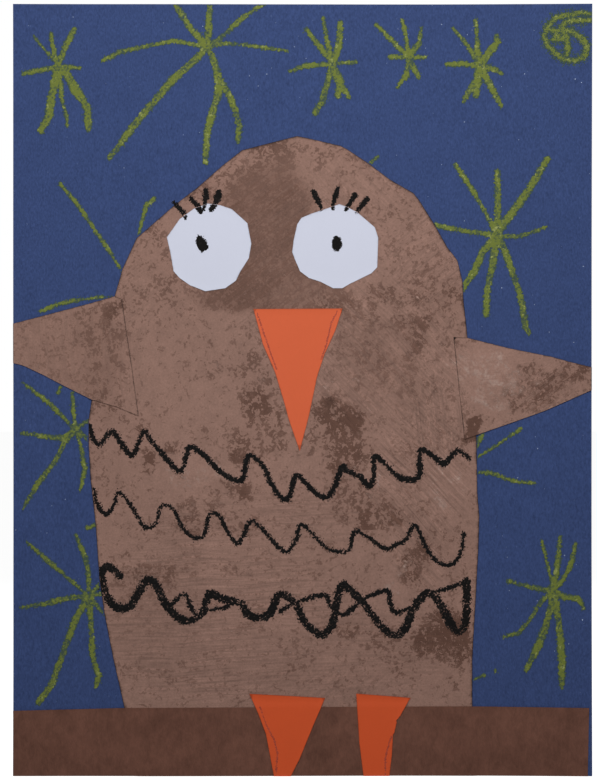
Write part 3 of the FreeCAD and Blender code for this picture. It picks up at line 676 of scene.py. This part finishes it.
def calc(tree, operation, first, second=0.0, clamp=False):
    return add_node(tree, "ShaderNodeMath", {0: first, 1: second}, operation=operation,
                    use_clamp=clamp).outputs[0]


def times(tree, first, second):
    return calc(tree, "MULTIPLY", first, second)


def minus(tree, first, second):
    return calc(tree, "SUBTRACT", first, second)


def added(tree, *values):
    total = values[0]
    for value in values[1:]:
        total = calc(tree, "ADD", total, value)
    return total


def centred(tree, value, gain):
    """A noise value moved to lie about 0, and scaled."""
    return times(tree, minus(tree, value, 0.5), gain)


def vector(tree, x=0.0, y=0.0, z=0.0):
    return add_node(tree, "ShaderNodeCombineXYZ", {0: x, 1: y, 2: z}).outputs[0]


def object_spot(tree):
    return add_node(tree, "ShaderNodeTexCoord").outputs["Object"]


def stored(tree, key):
    """A number that the mesh keeps for each point."""
    return add_node(tree, "ShaderNodeAttribute", attribute_name=key).outputs["Fac"]


def colour_mix(tree, share, first, second, blend="MIX"):
    sockets = {0: share, 6: first, 7: second}
    return add_node(tree, "ShaderNodeMix", sockets, data_type="RGBA", blend_type=blend).outputs[2]


def ramp(tree, value, low, high, to_low=0.0, to_high=1.0, smooth=True):
    """value taken from the range low to high on to another range, and held at its ends."""
    kind = "SMOOTHSTEP" if smooth else "LINEAR"
    sockets = {0: value, 1: low, 2: high, 3: to_low, 4: to_high}
    return add_node(tree, "ShaderNodeMapRange", sockets, interpolation_type=kind).outputs[0]


def noise(tree, place, scale, detail=2.0, roughness=0.5, distortion=0.0):
    sockets = {"Vector": place, "Scale": scale, "Detail": detail, "Roughness": roughness,
               "Distortion": distortion}
    return add_node(tree, "ShaderNodeTexNoise", sockets).outputs["Fac"]


def new_group(name, inputs, outputs):
    """A shader node group of float sockets: inputs are (name, default), outputs are names."""
    group = bpy.data.node_groups.new(name, "ShaderNodeTree")
    for label, default in inputs:
        socket = group.interface.new_socket(label, in_out="INPUT", socket_type="NodeSocketFloat")
        socket.default_value = default
    for label in outputs:
        group.interface.new_socket(label, in_out="OUTPUT", socket_type="NodeSocketFloat")
    start = group.nodes.new("NodeGroupInput")
    end = group.nodes.new("NodeGroupOutput")
    return group, start.outputs, end.inputs


def paper_grain_group():
    """Fibres, pulp clouds and flecks of a coarse paper. The fibres lie mostly upright."""
    if "paper_grain" in bpy.data.node_groups:
        return bpy.data.node_groups["paper_grain"]
    tree, given, out = new_group(
        "paper_grain",
        [("Fibre Size", 0.9 * MM), ("Cloudiness", 0.1), ("Fibre", 0.1), ("Fleck Share", 0.1)],
        ["Tone", "Fleck", "Height"])
    spot = object_spot(tree)
    upright = add_node(tree, "ShaderNodeVectorMath", {0: spot, 1: (1.0, 1.0, 0.5)},
                       operation="MULTIPLY").outputs[0]
    density = calc(tree, "DIVIDE", 1.0, given["Fibre Size"])
    fibres = noise(tree, upright, density, 2.0, 0.55, 0.5)
    clouds = noise(tree, spot, times(tree, density, 0.045), 3.0, 0.6, 0.4)
    pulp = noise(tree, upright, times(tree, density, 0.28), 2.0, 0.55, 0.8)
    broad = added(tree, times(tree, clouds, 0.6), times(tree, pulp, 0.4))
    tone = added(tree, centred(tree, fibres, given["Fibre"]),
                 centred(tree, broad, given["Cloudiness"]), 1.0)
    cells = add_node(tree, "ShaderNodeTexVoronoi",
                     {"Vector": spot, "Scale": times(tree, density, 0.3), "Randomness": 1.0})
    pick = add_node(tree, "ShaderNodeSeparateColor", {0: cells.outputs["Color"]}).outputs[0]
    chosen = ramp(tree, pick, minus(tree, 1.0, given["Fleck Share"]), 1.0)
    close = ramp(tree, cells.outputs["Distance"], 0.16, 0.05)
    tree.links.new(tone, out["Tone"])
    tree.links.new(times(tree, chosen, close), out["Fleck"])
    tree.links.new(fibres, out["Height"])
    return tree


def brush_group():
    """Streaks of a dry brush that run at a turn from level."""
    if "brush_streaks" in bpy.data.node_groups:
        return bpy.data.node_groups["brush_streaks"]
    tree, given, out = new_group(
        "brush_streaks", [("Turn", 0.0), ("Spacing", 1.1 * MM), ("Length", 30 * MM)],
        ["Streak", "Hair"])
    spot = object_spot(tree)
    turned = add_node(tree, "ShaderNodeVectorRotate", {"Vector": spot, "Angle": given["Turn"]},
                      rotation_type="Y_AXIS").outputs[0]
    sway = vector(tree, z=times(tree, noise(tree, spot, 30.0, 1.0), BRUSH_SWAY))
    swayed = add_node(tree, "ShaderNodeVectorMath", {0: turned, 1: sway}).outputs[0]
    stretch = vector(tree, calc(tree, "DIVIDE", 1.0, given["Length"]), 0.0,
                     calc(tree, "DIVIDE", 1.0, given["Spacing"]))
    drawn_out = add_node(tree, "ShaderNodeVectorMath", {0: swayed, 1: stretch},
                         operation="MULTIPLY").outputs[0]
    tree.links.new(noise(tree, drawn_out, 1.0, 3.0, 0.62), out["Streak"])
    other = noise(tree, drawn_out, 0.55, 1.0, 0.5)
    off_line = calc(tree, "ABSOLUTE", minus(tree, other, 0.5))
    tree.links.new(ramp(tree, off_line, 0.035, 0.0), out["Hair"])
    return tree


def new_material(name, roughness, specular=0.12):
    """A material with its shader, and the tree to build it in."""
    material = bpy.data.materials.new(name)
    material.use_nodes = True
    tree = material.node_tree
    shader = tree.nodes["Principled BSDF"]
    shader.inputs["Roughness"].default_value = roughness
    shader.inputs["Specular IOR Level"].default_value = specular
    return material, tree, shader


def bumped(tree, shader, height, distance):
    bump = add_node(tree, "ShaderNodeBump",
                    {"Height": height, "Distance": distance, "Strength": 1.0})
    tree.links.new(bump.outputs["Normal"], shader.inputs["Normal"])


def rgba(colour):
    return tuple(colour) + (1.0,)


def edge_shade(tree, depth):
    """A tone that falls off close to a paper's cut edge: partly wear where it is bruised and
    handled, partly painted shade along the edge.
    """
    return times(tree, calc(tree, "POWER", stored(tree, "cut_edge"), 5.0), -depth)


def toned(tree, colour, tone):
    """A colour made lighter or darker by a tone about 1."""
    grey = add_node(tree, "ShaderNodeCombineColor", {0: tone, 1: tone, 2: tone}).outputs[0]
    return colour_mix(tree, 1.0, colour, grey, "MULTIPLY")


def plain_paper(name, colour, fleck, look, fibre, cloudiness):
    """Paper of one colour, with fibres, faint clouds and flecks."""
    if name in bpy.data.materials:
        return bpy.data.materials[name]
    material, tree, shader = new_material(name, look["roughness"], look["specular"])
    grain = add_node(tree, "ShaderNodeGroup",
                     {"Fibre Size": look["fibre_size"], "Cloudiness": cloudiness, "Fibre": fibre},
                     node_tree=paper_grain_group()).outputs
    # The cut edges darken with wear and with painted shade
    tone = added(tree, grain["Tone"], edge_shade(tree, look["edge_wear_and_shade"]))
    flecked = colour_mix(tree, times(tree, grain["Fleck"], look["fleck_cover"]),
                         toned(tree, rgba(colour), tone), rgba(fleck))
    tree.links.new(flecked, shader.inputs["Base Color"])
    bumped(tree, shader, grain["Height"], look["bump"])
    return material


def construction_paper(name, colour, fleck, fibre=0.95, cloudiness=0.36):
    """Coarse coloured paper with a soft nap and pale flecks."""
    return plain_paper(name, colour, fleck, COARSE_PAPER, fibre, cloudiness)


def smooth_paper(name, colour, fleck, fibre=0.05, cloudiness=0.08):
    """Smoother paper, with a faint grain and darker flecks."""
    return plain_paper(name, colour, fleck, SMOOTH_PAPER, fibre, cloudiness)


def squiggles(tree, spot, scale, width):
    """Thin wandering lines, 1 on the line and 0 off it."""
    off_line = calc(tree, "ABSOLUTE", centred(tree, noise(tree, spot, scale, 2.0, 0.6, 1.6), 1.0))
    return ramp(tree, off_line, width, 0.0)


def painted_paper():
    """Paper painted in two browns, the dark one dabbed and dragged over the light one."""
    name = "painted_paper_finish"
    if name in bpy.data.materials:
        return bpy.data.materials[name]
    papers = bpy.context.scene.collage_papers
    material, tree, shader = new_material(name, 0.72)
    spot = object_spot(tree)
    streaks, hairs = 0.0, 0.0
    for key, turn, spacing in BRUSHES:
        brush = add_node(tree, "ShaderNodeGroup",
                         {"Turn": turn, "Spacing": spacing, "Length": BRUSH_LENGTH},
                         node_tree=brush_group()).outputs
        weight = stored(tree, key)
        streaks = added(tree, streaks, times(tree, weight, centred(tree, brush["Streak"], 1.0)))
        hairs = added(tree, hairs, times(tree, weight, brush["Hair"]))

    # The dark paint lies where a fine pattern is over a bar, which is lower where there is more
    dark_share = stored(tree, "dark_share")
    share = added(tree, dark_share, centred(tree, noise(tree, spot, 75.0, 3.0, 0.6, 0.6), 0.8),
                  centred(tree, noise(tree, spot, 210.0, 2.0, 0.6, 0.8), 0.35))
    pattern = added(tree, times(tree, noise(tree, spot, 380.0, 3.0, 0.55, 0.8), 0.62),
                    times(tree, noise(tree, spot, 1000.0, 2.0, 0.55, 0.5), 0.38),
                    times(tree, streaks, 0.62))
    bar = ramp(tree, share, 0.0, 1.0, 0.63, 0.39, smooth=False)
    dabbed = ramp(tree, minus(tree, pattern, bar), -0.006, 0.014)
    broken = ramp(tree, noise(tree, spot, 110.0, 2.0), 0.42, 0.62)
    gaps = times(tree, squiggles(tree, spot, 330.0, 0.035), broken)
    dark = times(tree, dabbed, minus(tree, 1.0, times(tree, gaps, 0.75)))
    lines = times(tree, squiggles(tree, spot, 420.0, 0.030), minus(tree, 1.0, broken))
    wash = times(tree, ramp(tree, share, 0.0, 1.0), 0.22)
    weight = ramp(tree, share, 0.1, 0.9, 0.50, 0.78)
    dabs = added(tree, wash, times(tree, dark, weight), times(tree, lines, 0.14))
    brushed = added(tree, times(tree, dark_share, 0.82),
                    centred(tree, noise(tree, spot, 60.0, 3.0, 0.6, 0.8), 0.35),
                    times(tree, streaks, 1.8), times(tree, dark, 0.12))
    amount = ramp(tree, stored(tree, "brushed"), 0.0, 1.0, dabs, brushed, smooth=False)
    browned = colour_mix(tree, calc(tree, "ADD", amount, 0.0, clamp=True),
                         rgba(papers.light_paint), rgba(papers.dark_paint))

    # Thin paint is pale, every stroke and fibre changes the tone a little, and the cut edges are
    # darkened with wear and painted shade
    thin = ramp(tree, added(tree, stored(tree, "pale"), centred(tree, pattern, 2.2),
                            centred(tree, noise(tree, spot, 160.0), 1.2)), 0.35, 1.0)
    browned = colour_mix(tree, thin, browned, rgba(papers.pale_paint))
    fine = noise(tree, spot, 1300.0, 2.0, 0.7)
    tone = added(tree, 1.0, times(tree, streaks, 1.45), times(tree, hairs, -0.11),
                 centred(tree, noise(tree, spot, 22.0, 3.0, 0.6), 0.3),
                 centred(tree, noise(tree, spot, 240.0, 3.0, 0.65, 0.5), 0.38),
                 centred(tree, fine, 0.55), edge_shade(tree, 1.0))
    tree.links.new(toned(tree, browned, tone), shader.inputs["Base Color"])
    tree.links.new(ramp(tree, dark, 0.0, 1.0, 0.78, 0.62), shader.inputs["Roughness"])
    bumped(tree, shader, added(tree, times(tree, dark, 0.4), times(tree, streaks, 1.2), fine),
           0.05 * MM)
    return material


def pastel(name, thick, thin, ridge_highlight, roughness):
    """Oil pastel: a waxy colour that thins out on the paper's tooth and piles up in ridges, which
    are drawn lighter, partly with a painted highlight.
    """
    if name in bpy.data.materials:
        return bpy.data.materials[name]
    material, tree, shader = new_material(name, roughness, 0.05)
    spot = object_spot(tree)
    grain = noise(tree, spot, 1000.0, 3.0, 0.65, 0.6)
    drag = noise(tree, spot, 260.0, 2.0, 0.5)
    laid = ramp(tree, added(tree, stored(tree, "press"), centred(tree, grain, 0.7),
                            centred(tree, drag, 1.3)), 0.04, 0.74)
    waxed = colour_mix(tree, laid, rgba(thin), rgba(thick))
    lumps = added(tree, centred(tree, grain, 0.8), noise(tree, spot, 360.0, 2.0, 0.6, 1.0))
    # The ridges of piled wax take a lighter colour, partly the wax's own and partly a painted
    # highlight
    piled_highlight = times(tree, laid, ramp(tree, lumps, 0.58, 0.82))
    tree.links.new(colour_mix(tree, piled_highlight, waxed, rgba(ridge_highlight)), shader.inputs["Base Color"])
    bumped(tree, shader, added(tree, grain, laid), 0.08 * MM)
    return material


def green_pastel():
    marks = bpy.context.scene.collage_marks
    return pastel("green_pastel_finish", marks.green_thick, marks.green_thin, marks.green_ridge_highlight,
                  0.7)


def black_pastel():
    marks = bpy.context.scene.collage_marks
    return pastel("black_pastel_finish", marks.black, marks.black_thin, marks.black, 0.8)


def green_dust():
    """Green pastel that is rubbed thin on the blue sheet."""
    marks = bpy.context.scene.collage_marks
    return pastel("rubbed_green_finish", marks.green_thin, marks.blue_green, marks.green_thick,
                  0.8)


def plain_grained(name, colour, roughness, scale, depth):
    """A thin film, a line or lint, of one colour with a grainy tone."""
    if name in bpy.data.materials:
        return bpy.data.materials[name]
    material, tree, shader = new_material(name, roughness)
    grain = noise(tree, object_spot(tree), scale, 3.0, 0.6)
    tone = ramp(tree, grain, 0.2, 0.8, 1 - depth, 1 + depth)
    tree.links.new(toned(tree, rgba(colour), tone), shader.inputs["Base Color"])
    bumped(tree, shader, grain, 0.03 * MM)
    return material


# ---- Scattered bits -------------------------------------------------------------------------

def chance(tree, low, high, seed, kind="FLOAT"):
    """A number, or a vector, that differs for each point or corner."""
    first = 0 if kind == "FLOAT_VECTOR" else 2
    made = add_node(tree, "FunctionNodeRandomValue", {first: low, first + 1: high, "Seed": seed},
                    data_type=kind)
    return made.outputs[0 if kind == "FLOAT_VECTOR" else 1]


def scatter_tree(name):
    """A tree that scatters small irregular bits over the front of a mesh, as far as its points'
    bare value allows."""
    tree = bpy.data.node_groups.new(name, "GeometryNodeTree")
    sockets = tree.interface
    sockets.new_socket("Geometry", in_out="INPUT", socket_type="NodeSocketGeometry")
    for label, default in (("Density", 10000.0), ("Smallest", 0.1 * MM), ("Largest", 0.3 * MM),
                           ("Spread", 0.0), ("Sink", 0.0), ("Flatness", 0.5)):
        made = sockets.new_socket(label, in_out="INPUT", socket_type="NodeSocketFloat")
        made.default_value = default
    sockets.new_socket("Material", in_out="INPUT", socket_type="NodeSocketMaterial")
    sockets.new_socket("Geometry", in_out="OUTPUT", socket_type="NodeSocketGeometry")
    given = tree.nodes.new("NodeGroupInput").outputs
    end = tree.nodes.new("NodeGroupOutput").inputs

    normal = add_node(tree, "GeometryNodeInputNormal").outputs[0]
    forward = add_node(tree, "ShaderNodeSeparateXYZ", {0: normal}).outputs[1]
    facing = add_node(tree, "FunctionNodeCompare", {0: forward, 1: -0.5}, data_type="FLOAT",
                      operation="LESS_THAN").outputs[0]
    bare = add_node(tree, "GeometryNodeInputNamedAttribute", {"Name": "bare"},
                    data_type="FLOAT").outputs["Attribute"]
    points = add_node(tree, "GeometryNodeDistributePointsOnFaces",
                      {"Mesh": given["Geometry"], "Selection": facing,
                       "Density": times(tree, given["Density"], bare), "Seed": 7})
    back = times(tree, given["Spread"], -1.0)
    drift = chance(tree, vector(tree, back, 0.0, back),
                   vector(tree, given["Spread"], given["Sink"], given["Spread"]), 3,
                   "FLOAT_VECTOR")
    moved = add_node(tree, "GeometryNodeSetPosition",
                     {"Geometry": points.outputs["Points"], "Offset": drift})

    bit = add_node(tree, "GeometryNodeMeshIcoSphere", {"Radius": 1.0, "Subdivisions": 1})
    chips = chance(tree, (-CHIP,) * 3, (CHIP,) * 3, 5, "FLOAT_VECTOR")
    chipped = add_node(tree, "GeometryNodeSetPosition",
                       {"Geometry": bit.outputs["Mesh"], "Offset": chips})
    size = chance(tree, given["Smallest"], given["Largest"], 11)
    stretch = vector(tree, times(tree, size, chance(tree, *BIT_LENGTHS, 13)),
                     times(tree, size, given["Flatness"]), size)
    turned = vector(tree, y=chance(tree, 0.0, 2 * math.pi, 17))
    placed = add_node(tree, "GeometryNodeInstanceOnPoints",
                      {"Points": moved.outputs[0], "Instance": chipped.outputs[0],
                       "Rotation": turned, "Scale": stretch})
    real = add_node(tree, "GeometryNodeRealizeInstances", {0: placed.outputs[0]})
    painted = add_node(tree, "GeometryNodeSetMaterial",
                       {"Geometry": real.outputs[0], "Material": given["Material"]})
    tree.links.new(painted.outputs[0], end["Geometry"])
    return tree


def scattered(name, source, settings, material):
    """Bits scattered over a mesh, made a plain mesh of their own."""
    tree = bpy.data.node_groups.get("scattered_bits") or scatter_tree("scattered_bits")
    carrier = in_scene("carrier", source)
    modifier = carrier.modifiers.new("bits", "NODES")
    modifier.node_group = tree
    values = dict(settings, Material=material)
    for item in tree.interface.items_tree:
        if item.item_type == "SOCKET" and item.in_out == "INPUT" and item.name in values:
            modifier[item.identifier] = values[item.name]
    bpy.context.view_layer.update()
    ready = carrier.evaluated_get(bpy.context.evaluated_depsgraph_get())
    mesh = bpy.data.meshes.new_from_object(ready)
    mesh.name = name
    bpy.data.objects.remove(carrier)
    piece = in_scene(name, mesh)
    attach(piece, "root")


def marks_mesh(names, spread):
    """The meshes of some marks as one, to scatter bits over. Bits land up to spread away, and so
    close to the sheet's edges there are none."""
    work = bmesh.new()
    for name in names:
        work.from_mesh(bpy.data.objects[name + "_mark"].data)
    mesh = bpy.data.meshes.new("carrier")
    work.to_mesh(mesh)
    work.free()
    store(mesh, "bare", depth_in("backing_sheet", spots_of(mesh)) > spread)
    return mesh


def bare_sheet_mesh():
    """A copy of the blue sheet's mesh, to scatter lint over where no other paper covers it."""
    mesh = bpy.data.objects["backing_sheet_paper"].data.copy()
    spots = spots_of(mesh)
    bare = np.ones(len(spots))
    for cover in SHEET_COVERS:
        bare = bare * smooth_step(-depth_in(cover, spots) / BODY_FADE)
    store(mesh, "bare", bare)
    return mesh


# ---- Operators ------------------------------------------------------------------------------

class CollageOperator:
    """What the collage's operators share"""

    bl_options = {"REGISTER", "UNDO"}

    def execute(self, context):
        self.build(context.scene.collage_papers, context.scene.collage_marks)
        return {"FINISHED"}


class OBJECT_OT_collage_sheet(CollageOperator, bpy.types.Operator):
    """Makes the blue sheet that everything is glued to"""

    bl_idname = "object.collage_sheet"
    bl_label = "Blue Sheet"

    def build(self, papers, marks):
        blue = construction_paper("blue_paper_finish", papers.blue, (0.16, 0.22, 0.38))
        cut_paper("backing_sheet", blue, papers.sheet_grid)


class OBJECT_OT_collage_body(CollageOperator, bpy.types.Operator):
    """Makes the owl's painted body"""

    bl_idname = "object.collage_body"
    bl_label = "Body"

    def build(self, papers, marks):
        cut_paper("owl_body", painted_paper(), papers.grid, paint_values)


class OBJECT_OT_collage_wings(CollageOperator, bpy.types.Operator):
    """Makes the two painted wings, which step over the body's edges"""

    bl_idname = "object.collage_wings"
    bl_label = "Wings"

    def build(self, papers, marks):
        for wing in ("left_wing", "right_wing"):
            cut_paper(wing, painted_paper(), papers.grid / 2, paint_values)


class OBJECT_OT_collage_strip(CollageOperator, bpy.types.Operator):
    """Makes the brown strip under the owl"""

    bl_idname = "object.collage_strip"
    bl_label = "Ground Strip"

    def build(self, papers, marks):
        brown = construction_paper("brown_paper_finish", papers.brown, (0.19, 0.10, 0.07),
                                   fibre=0.35, cloudiness=1.3)
        cut_paper("ground_strip", brown, papers.grid / 2)


class OBJECT_OT_collage_beak_legs(CollageOperator, bpy.types.Operator):
    """Makes the orange beak and legs"""

    bl_idname = "object.collage_beak_legs"
    bl_label = "Beak and Legs"

    def build(self, papers, marks):
        orange = smooth_paper("orange_paper_finish", papers.orange, (0.40, 0.07, 0.03))
        redder = smooth_paper("leg_paper_finish", papers.leg_orange, (0.38, 0.05, 0.02))
        for name, paper in (("beak", orange), ("left_leg", redder), ("right_leg", redder)):
            cut_paper(name, paper, papers.grid / 2)


class OBJECT_OT_collage_eyes(CollageOperator, bpy.types.Operator):
    """Makes the two white eyes"""

    bl_idname = "object.collage_eyes"
    bl_label = "Eyes"

    def build(self, papers, marks):
        white = smooth_paper("white_paper_finish", papers.white, (0.45, 0.46, 0.55),
                             fibre=0.02, cloudiness=0.035)
        for name in ("left_eye", "right_eye"):
            cut_paper(name, white, papers.grid / 2)


class OBJECT_OT_collage_glue(CollageOperator, bpy.types.Operator):
    """Makes the glue films between the papers"""

    bl_idname = "object.collage_glue"
    bl_label = "Glue"

    def build(self, papers, marks):
        glue = plain_grained("glue_finish", papers.glue, roughness=0.4, scale=300.0, depth=0.08)
        for name in GLUE_FILMS:
            glue_film(name, glue)


class OBJECT_OT_collage_stars(CollageOperator, bpy.types.Operator):
    """Draws the green pastel stars and the spiral"""

    bl_idname = "object.collage_stars"
    bl_label = "Stars"

    def build(self, papers, marks):
        for name in STAR_MARKS:
            drawn_mark(name, green_pastel(), rough=1.1)


class OBJECT_OT_collage_feathers(CollageOperator, bpy.types.Operator):
    """Draws the three wavy rows of feathers in black pastel"""

    bl_idname = "object.collage_feathers"
    bl_label = "Feathers"

    def build(self, papers, marks):
        for name in FEATHER_MARKS:
            drawn_mark(name, black_pastel(), rough=2.4, swing=0.5, scale=0.75)


class OBJECT_OT_collage_lashes(CollageOperator, bpy.types.Operator):
    """Draws the lashes and pupils in black pastel"""

    bl_idname = "object.collage_lashes"
    bl_label = "Lashes and Pupils"

    def build(self, papers, marks):
        for name in EYE_MARKS:
            drawn_mark(name, black_pastel(), swing=0.3, scale=0.6)


class OBJECT_OT_collage_pencil(CollageOperator, bpy.types.Operator):
    """Draws the pencil guide lines left on the orange papers"""

    bl_idname = "object.collage_pencil"
    bl_label = "Pencil Lines"

    def build(self, papers, marks):
        graphite = plain_grained("pencil_finish", marks.graphite, roughness=0.5, scale=1800.0,
                                 depth=0.35)
        for name in PENCIL_MARKS:
            drawn_mark(name, graphite, swing=0.3, scale=0.4, wax_scale=0.15)


class OBJECT_OT_collage_crumbs(CollageOperator, bpy.types.Operator):
    """Scatters the crumbs that the pastels leave, and lint on the blue sheet"""

    bl_idname = "object.collage_crumbs"
    bl_label = "Crumbs and Lint"

    def build(self, papers, marks):
        crumbs = {"Density": 4.0e5, "Smallest": 0.07 * MM, "Largest": 0.17 * MM,
                  "Spread": 0.5 * MM, "Sink": 0.08 * MM, "Flatness": 0.55}
        black = dict(crumbs, Density=1.3e6, Smallest=0.08 * MM, Largest=0.21 * MM,
                     Spread=1.1 * MM)
        dust = dict(crumbs, Density=1.6e6, Largest=0.20 * MM, Spread=0.8 * MM, Flatness=0.3)
        haze = dict(dust, Density=1.1e7, Largest=0.26 * MM, Spread=1.7 * MM)
        for name, sources, settings, material, slot in (
                ("green_crumbs", STAR_MARKS, crumbs, green_pastel(), "green_pastel"),
                ("black_crumbs", FEATHER_MARKS, black, black_pastel(), "black_pastel"),
                ("green_dust", STAR_MARKS, dust, green_dust(), "green_pastel"),
                ("spiral_haze", ["sky_spiral"], haze, green_dust(), "green_pastel")):
            scattered(name, marks_mesh(sources, settings["Spread"]), settings, material)
        lint = {"Density": 3.5e3, "Smallest": 0.06 * MM, "Largest": 0.21 * MM, "Flatness": 0.3}
        pale = plain_grained("paper_lint", (0.27, 0.33, 0.47), roughness=0.9, scale=900.0,
                             depth=0.3)
        scattered("paper_lint", bare_sheet_mesh(), lint, pale)


class SCENE_OT_collage_stage(bpy.types.Operator):
    """Sets up the floor, the lights and the camera"""

    bl_idname = "scene.collage_stage"
    bl_label = "Stage"
    bl_options = {"REGISTER", "UNDO"}

    def execute(self, context):
        stage = context.scene.collage_stage
        mesh = bpy.data.meshes.new("studio_floor")
        mesh.from_pydata([(FLOOR_HALF * x, FLOOR_HALF * y, cad_low.z) for x, y in
                          ((-1, -1), (1, -1), (1, 1), (-1, 1))], [], [(0, 1, 2, 3)])
        material, tree, shader = new_material("studio_floor", 0.85)
        shade = ramp(tree, noise(tree, object_spot(tree), 1.5), 0.2, 0.8, 0.98, 1.02)
        tree.links.new(toned(tree, rgba(stage.floor), shade), shader.inputs["Base Color"])
        seen = add_node(tree, "ShaderNodeLightPath").outputs["Is Camera Ray"]
        tree.links.new(times(tree, seen, stage.floor_glow), shader.inputs["Emission Strength"])
        shader.inputs["Emission Color"].default_value = (1.0, 1.0, 1.0, 1.0)
        mesh.materials.append(material)
        in_scene("studio_floor", mesh)

        world = bpy.data.worlds.new("studio")
        world.use_nodes = True
        context.scene.world = world
        tree = world.node_tree
        background = tree.nodes["Background"]
        seen = add_node(tree, "ShaderNodeLightPath").outputs["Is Camera Ray"]
        around = colour_mix(tree, seen, rgba((stage.sky,) * 3), rgba(stage.backdrop))
        tree.links.new(around, background.inputs["Color"])

        for name, power, place in (("key_light", stage.key_power, KEY_PLACE),
                                   ("fill_light", stage.fill_power, FILL_PLACE)):
            light = bpy.data.lights.new(name, "AREA")
            light.energy = power
            light.shape = "RECTANGLE"
            light.size, light.size_y = LAMP_SIZE
            lamp = in_scene(name, light)
            lamp.location = place
            lamp.rotation_euler = (LAMP_AIM - place).to_track_quat("-Z", "Y").to_euler()
            lamp.visible_camera = False

        lens = bpy.data.cameras.new("camera")
        lens.lens = stage.lens
        lens.clip_start = 0.01
        camera = in_scene("camera", lens)
        camera.location = (stage.camera_side, -stage.camera_distance, 0.0)
        camera.rotation_euler = (math.radians(90), 0.0, 0.0)
        context.scene.camera = camera
        context.scene.view_settings.view_transform = "Standard"
        context.scene.view_settings.look = "None"
        return {"FINISHED"}


class VIEW3D_PT_collage(bpy.types.Panel):
    """The collage's pieces and settings"""

    bl_label = "Owl Collage"
    bl_idname = "VIEW3D_PT_collage"
    bl_space_type = "VIEW_3D"
    bl_region_type = "UI"
    bl_category = "Owl Collage"

    def draw(self, context):
        for operator in OPERATORS:
            self.layout.operator(operator.bl_idname)
        for group in (context.scene.collage_papers, context.scene.collage_marks,
                      context.scene.collage_stage):
            box = self.layout.box()
            for key in group.__annotations__:
                box.prop(group, key)


OPERATORS = (
    OBJECT_OT_collage_sheet, OBJECT_OT_collage_body, OBJECT_OT_collage_wings,
    OBJECT_OT_collage_strip, OBJECT_OT_collage_beak_legs, OBJECT_OT_collage_eyes,
    OBJECT_OT_collage_glue, OBJECT_OT_collage_stars, OBJECT_OT_collage_feathers,
    OBJECT_OT_collage_lashes, OBJECT_OT_collage_pencil, OBJECT_OT_collage_crumbs,
    SCENE_OT_collage_stage,
)
SETTINGS = {
    "collage_papers": CollagePaperSettings,
    "collage_marks": CollageMarkSettings,
    "collage_stage": CollageStageSettings,
}


def register():
    for group in SETTINGS.values():
        bpy.utils.register_class(group)
    for name, group in SETTINGS.items():
        setattr(bpy.types.Scene, name, PointerProperty(type=group))
    for operator in OPERATORS:
        bpy.utils.register_class(operator)
    bpy.utils.register_class(VIEW3D_PT_collage)


def unregister():
    bpy.utils.unregister_class(VIEW3D_PT_collage)
    for operator in reversed(OPERATORS):
        bpy.utils.unregister_class(operator)
    for name, group in SETTINGS.items():
        delattr(bpy.types.Scene, name)
        bpy.utils.unregister_class(group)


def main():
    register()
    for operator in OPERATORS:
        family, name = operator.bl_idname.split(".")
        getattr(getattr(bpy.ops, family), name)()


if __name__ == "__main__":
    main()
